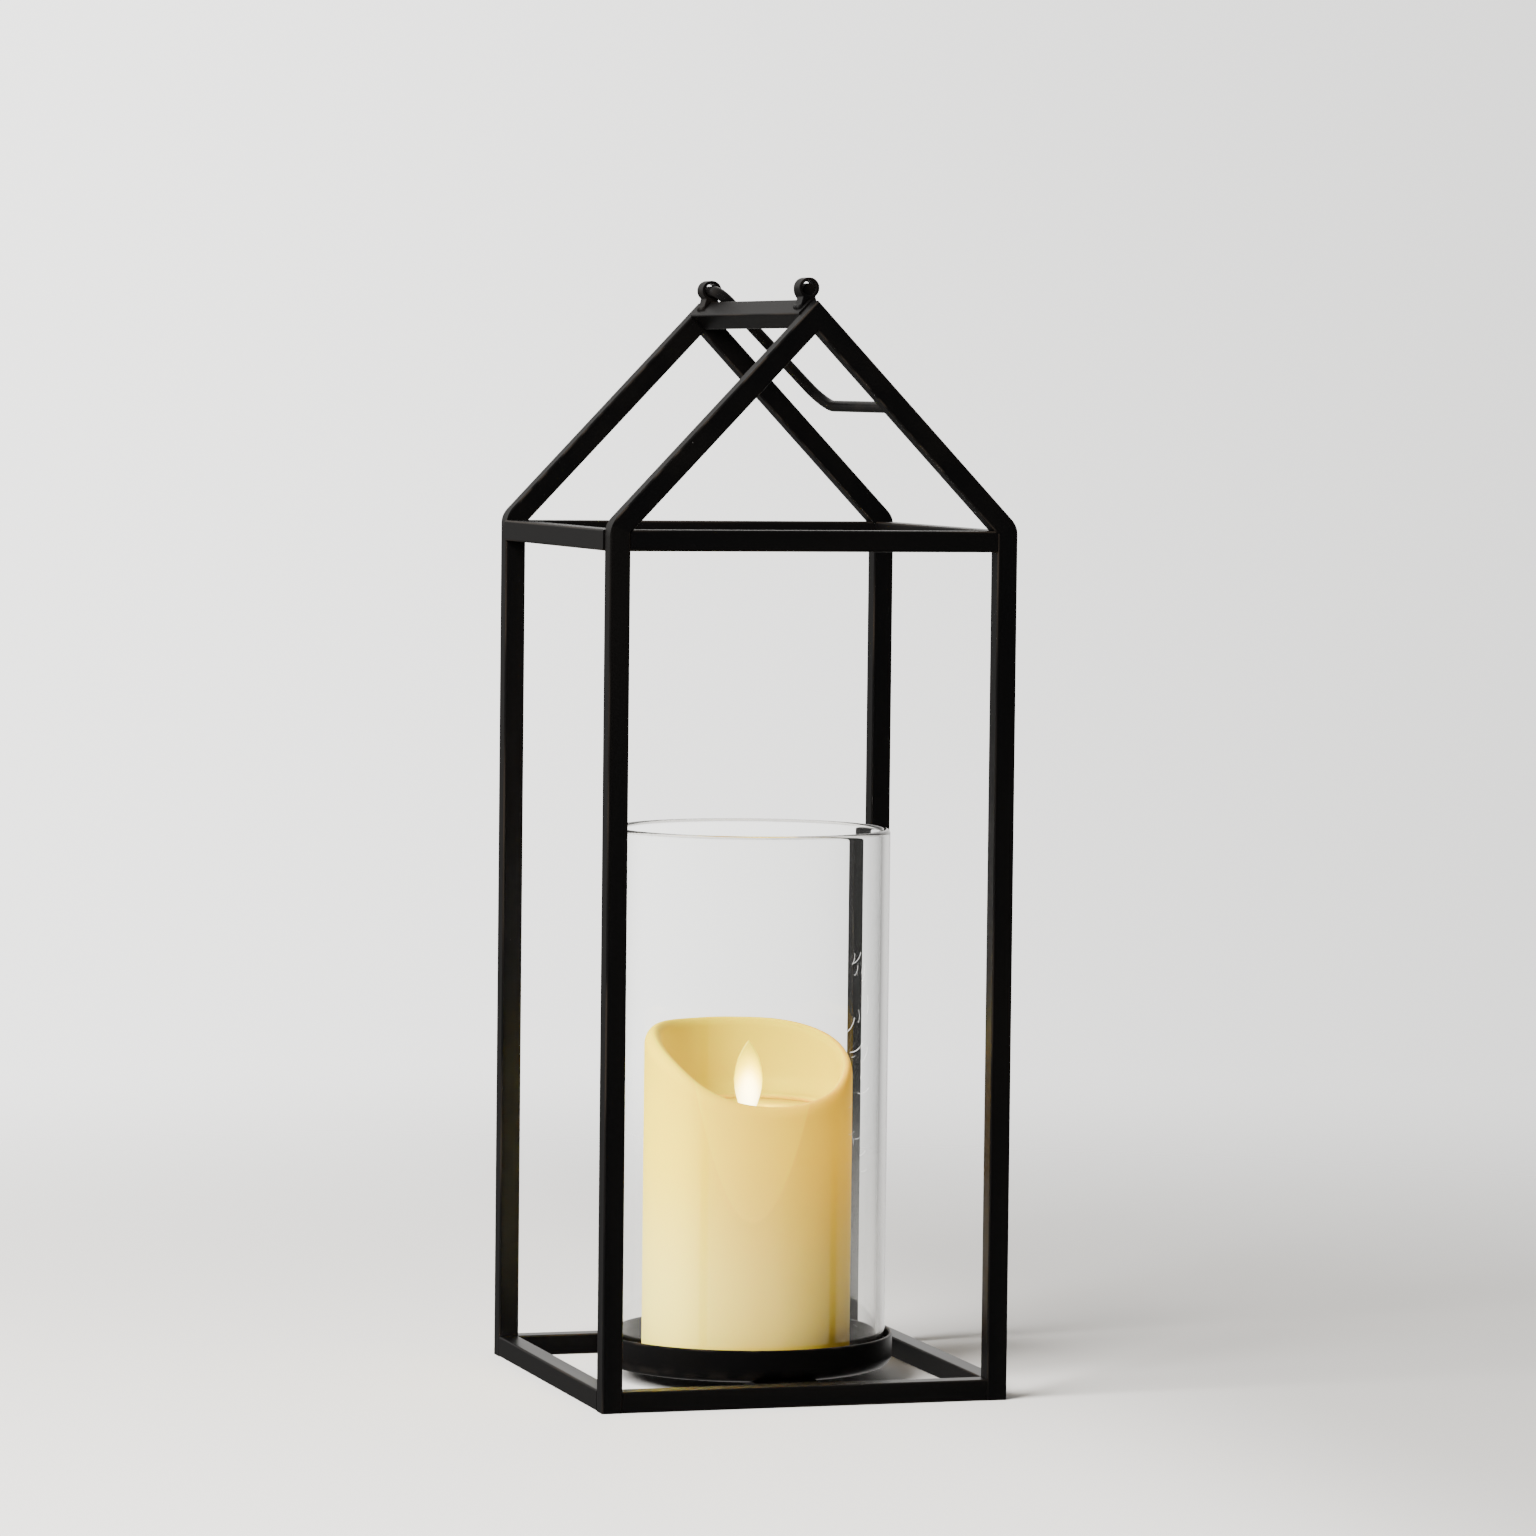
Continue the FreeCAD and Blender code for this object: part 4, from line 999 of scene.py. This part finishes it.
def add_camera(look):
    yaw, pitch, roll = look.camera_yaw, look.camera_pitch, look.camera_roll
    ahead = Vector((math.sin(yaw) * math.cos(pitch), math.cos(yaw) * math.cos(pitch), -math.sin(pitch)))
    level = Vector((math.cos(yaw), -math.sin(yaw), 0))
    up = level.cross(ahead)
    right = level * math.cos(roll) + up * math.sin(roll)
    up = up * math.cos(roll) - level * math.sin(roll)
    camera = bpy.data.objects.new("camera", bpy.data.cameras.new("camera"))
    camera.data.lens = look.lens
    camera.matrix_world = (Matrix.Translation(look.camera_place)
                           @ Matrix((right, up, -ahead)).transposed().to_4x4())
    bpy.context.scene.collection.objects.link(camera)
    bpy.context.scene.camera = camera


# ---- what a user may change -------------------------------------------------------------------------
def colour(name, description, default):
    return FloatVectorProperty(name=name, description=description, default=default,
                               subtype="COLOR", min=0.0, max=1.0)


def length(name, description, default):
    return FloatProperty(name=name, description=description, default=default, unit="LENGTH", precision=5)


def factor(name, description, default):
    return FloatProperty(name=name, description=description, default=default, subtype="FACTOR",
                         min=0.0, max=1.0)


def amount(name, description, default):
    return FloatProperty(name=name, description=description, default=default, min=0.0)


class FrameLook(bpy.types.PropertyGroup):
    steel: colour("Paint", "Colour of the satin black paint", (0.0016, 0.0015, 0.0016))
    steel_warm: colour("Warm paint", "Colour of the paint where it is thinner", (0.0036, 0.003, 0.0026))
    rub: colour("Rubbed edge", "Colour that shows where the paint is rubbed", (0.016, 0.012, 0.009))
    steel_roughness: factor("Paint roughness", "How matt the paint is", 0.38)
    steel_gloss: factor("Paint gloss", "How strongly the paint mirrors", 0.24)
    rub_width: length("Rub width", "How far the rubbing reaches in from an edge", 0.8 * MM)
    dust: factor("Dust", "How strongly dust specks show", 0.15)


class GlassLook(bpy.types.PropertyGroup):
    tint: colour("Glass tint", "Colour of the clear glass", (0.985, 0.99, 0.985))
    scuffs: IntProperty(name="Scuffs", description="How many hairline scratches", default=26, min=0)


class CandleLook(bpy.types.PropertyGroup):
    wax: colour("Wax", "Colour of the unlit wax", (0.90, 0.74, 0.13))
    # painted shade and glow: the wax's amber colour on its lit left and, darker, on its shaded right
    wax_left: colour("Wax on the left", "Colour of the wax towards the window", (0.86, 0.63, 0.006))
    wax_shaded_glow: colour("Glowing wax", "Colour of the wax where it glows", (0.62, 0.37, 0.012))
    # painted glow: the bowl's deep amber colours near the flame and away from it
    wax_bowl: colour("Bowl by the flame", "Colour of the bowl close to the flame", (0.27, 0.205, 0.0))
    wax_bowl_side: colour("Bowl's side", "Colour of the bowl away from the flame", (0.55, 0.42, 0.006))
    wax_foot: colour("Foot", "Colour of the stain round the wax's foot", (0.32, 0.13, 0.03))
    wax_fleck: colour("Flecks", "Colour of the dark flecks in the wax", (0.25, 0.14, 0.05))
    glow: colour("Glow", "Colour of the light inside the wax", (1.0, 0.7, 0.0))
    glow_amber: colour("Glow at right", "Colour of that light where it is deepest", (1.0, 0.5, 0.0))
    glow_strength: amount("Glow strength", "Brightness of the light inside the wax", 0.88)
    pool: colour("Plate", "Colour of the plate at the bottom of the bowl", (0.4, 0.29, 0.003))
    pool_glow: colour("Plate's glow", "Colour of the light on that plate", (1.0, 0.66, 0.0))
    pool_strength: amount("Plate's brightness", "Brightness of the light on that plate", 4.0)
    flame: colour("Flame", "Colour of the unlit flame", (0.4, 0.31, 0.003))
    flame_edge: colour("Flame's edge", "Colour of its light at the tip and sides", (1.0, 0.8, 0.0))
    flame_heart: colour("Flame's heart", "Colour of its light in the middle", (1.0, 0.9, 0.55))
    flame_strength: amount("Flame strength", "Brightness of the flame", 12.0)
    flame_shed: colour("Flame's light", "Colour of the light that the flame sheds", (1.0, 0.72, 0.3))
    flame_power: amount("Flame power", "Light that the flame sheds, in watts", 0.05)
    crest_back: length("Lip at back", "Height of the melted lip at the back", wax_high.z)
    crest_side: length("Lip at sides", "Height of the lip at the sides", plate_high.z + 22.8 * MM)
    crest_front: length("Lip at front", "Height of the lip at the front", plate_high.z + 3.8 * MM)


class StageLook(bpy.types.PropertyGroup):
    floor: colour("Floor", "Colour of the pale floor", (0.78, 0.765, 0.74))
    # painted shadow on the floor, darkening it towards the right
    painted_floor_shadow: factor("Floor dimming", "How much darker the floor gets to the right", 0.36)
    floor_fade_start: length("Fade start", "Where the floor begins to fade into the backdrop", 0.22)
    floor_fade_end: length("Fade end", "Where the floor has gone", 1.15)
    backdrop: amount("Backdrop", "Brightness of the backdrop", 3.2)
    room: amount("Room light", "Brightness of the studio's walls", 0.45)
    glare: amount("Glare", "Brightness at the back right that mirrored light sees", 1.3)
    key_power: amount("Key light", "Power of the large light at the left, in watts", 250.0)
    key_size: length("Key light size", "Width of the large light", 1.3)
    key_place: FloatVectorProperty(name="Key light place", description="Where the large light stands",
                                   default=(-1.6, -0.8, 1.4), subtype="XYZ", unit="LENGTH")
    camera_place: FloatVectorProperty(name="Camera place", description="Where the camera stands",
                                      default=(-0.71646, -2.36405, 0.36925), subtype="XYZ",
                                      unit="LENGTH")
    camera_yaw: FloatProperty(name="Camera yaw", description="Turn to the right of straight ahead",
                              default=0.2967, unit="ROTATION")
    camera_pitch: FloatProperty(name="Camera pitch", description="Tilt below level",
                                default=0.0583, unit="ROTATION")
    camera_roll: FloatProperty(name="Camera roll", description="Turn about the line of sight",
                               default=0.011, unit="ROTATION")
    lens: FloatProperty(name="Lens", description="Focal length on a 36 mm sensor", default=157.87,
                        unit="CAMERA")


# ---- operators, one for each piece or group ---------------------------------------------------------
class LANTERN_OT_frame(bpy.types.Operator):
    """Paint the steel frame, weld its lugs and crossbar"""
    bl_idname = "lantern.frame"
    bl_label = "Black steel frame"

    def execute(self, context):
        paint = paint_frame(context.scene.lantern_frame)
        for node in ("front_lug", "back_lug"):
            build_lug(node, paint)
        build_welds(paint)
        return {"FINISHED"}


class LANTERN_OT_glass(bpy.types.Operator):
    """Make the glass cylinder"""
    bl_idname = "lantern.glass"
    bl_label = "Glass cylinder"

    def execute(self, context):
        build_glass(context.scene.lantern_glass)
        return {"FINISHED"}


class LANTERN_OT_scuffs(bpy.types.Operator):
    """Scratch the glass"""
    bl_idname = "lantern.scuffs"
    bl_label = "Glass scuffs"

    def execute(self, context):
        build_scuffs(context.scene.lantern_glass)
        return {"FINISHED"}


class LANTERN_OT_wax(bpy.types.Operator):
    """Make the melted wax shell"""
    bl_idname = "lantern.wax"
    bl_label = "Wax shell"

    def execute(self, context):
        build_wax(context.scene.lantern_candle)
        return {"FINISHED"}


class LANTERN_OT_flame(bpy.types.Operator):
    """Make the flame and the light that it sheds"""
    bl_idname = "lantern.flame"
    bl_label = "Flame"

    def execute(self, context):
        build_flame(context.scene.lantern_candle)
        return {"FINISHED"}


class LANTERN_OT_works(bpy.types.Operator):
    """Finish the parts inside and under the candle, and wind the drive coil"""
    bl_idname = "lantern.works"
    bl_label = "Candle works"

    def execute(self, context):
        dress_works(context.scene.lantern_candle)
        build_winding()
        return {"FINISHED"}


class LANTERN_OT_stage(bpy.types.Operator):
    """Set the floor, the studio light and the camera"""
    bl_idname = "lantern.stage"
    bl_label = "Stage"

    def execute(self, context):
        look = context.scene.lantern_stage
        build_world(look)
        build_floor(look)
        add_key_light(look)
        add_camera(look)
        return {"FINISHED"}


OPERATORS = (LANTERN_OT_frame, LANTERN_OT_glass, LANTERN_OT_scuffs, LANTERN_OT_wax,
             LANTERN_OT_flame, LANTERN_OT_works, LANTERN_OT_stage)


class LANTERN_PT_build(bpy.types.Panel):
    """Lists what can be built, with the sizes and colours of each"""
    bl_label = "Candle Lantern"
    bl_space_type = "VIEW_3D"
    bl_region_type = "UI"
    bl_category = "Lantern"

    def draw(self, context):
        for operator in OPERATORS:
            self.layout.operator(operator.bl_idname)
        for name in LOOKS:
            look = getattr(context.scene, name)
            box = self.layout.box()
            for field in look.bl_rna.properties:
                if field.identifier not in ("rna_type", "name"):
                    box.prop(look, field.identifier)


LOOKS = {"lantern_frame": FrameLook, "lantern_glass": GlassLook, "lantern_candle": CandleLook,
         "lantern_stage": StageLook}


def register():
    for kind in (*LOOKS.values(), *OPERATORS, LANTERN_PT_build):
        bpy.utils.register_class(kind)
    for name, kind in LOOKS.items():
        setattr(bpy.types.Scene, name, PointerProperty(type=kind))


def unregister():
    for name in LOOKS:
        delattr(bpy.types.Scene, name)
    for kind in (LANTERN_PT_build, *reversed(OPERATORS), *reversed(LOOKS.values())):
        bpy.utils.unregister_class(kind)


def main():
    register()
    bpy.ops.lantern.frame()
    bpy.ops.lantern.glass()
    bpy.ops.lantern.scuffs()
    bpy.ops.lantern.wax()
    bpy.ops.lantern.flame()
    bpy.ops.lantern.works()
    bpy.ops.lantern.stage()


if __name__ == "__main__":
    main()
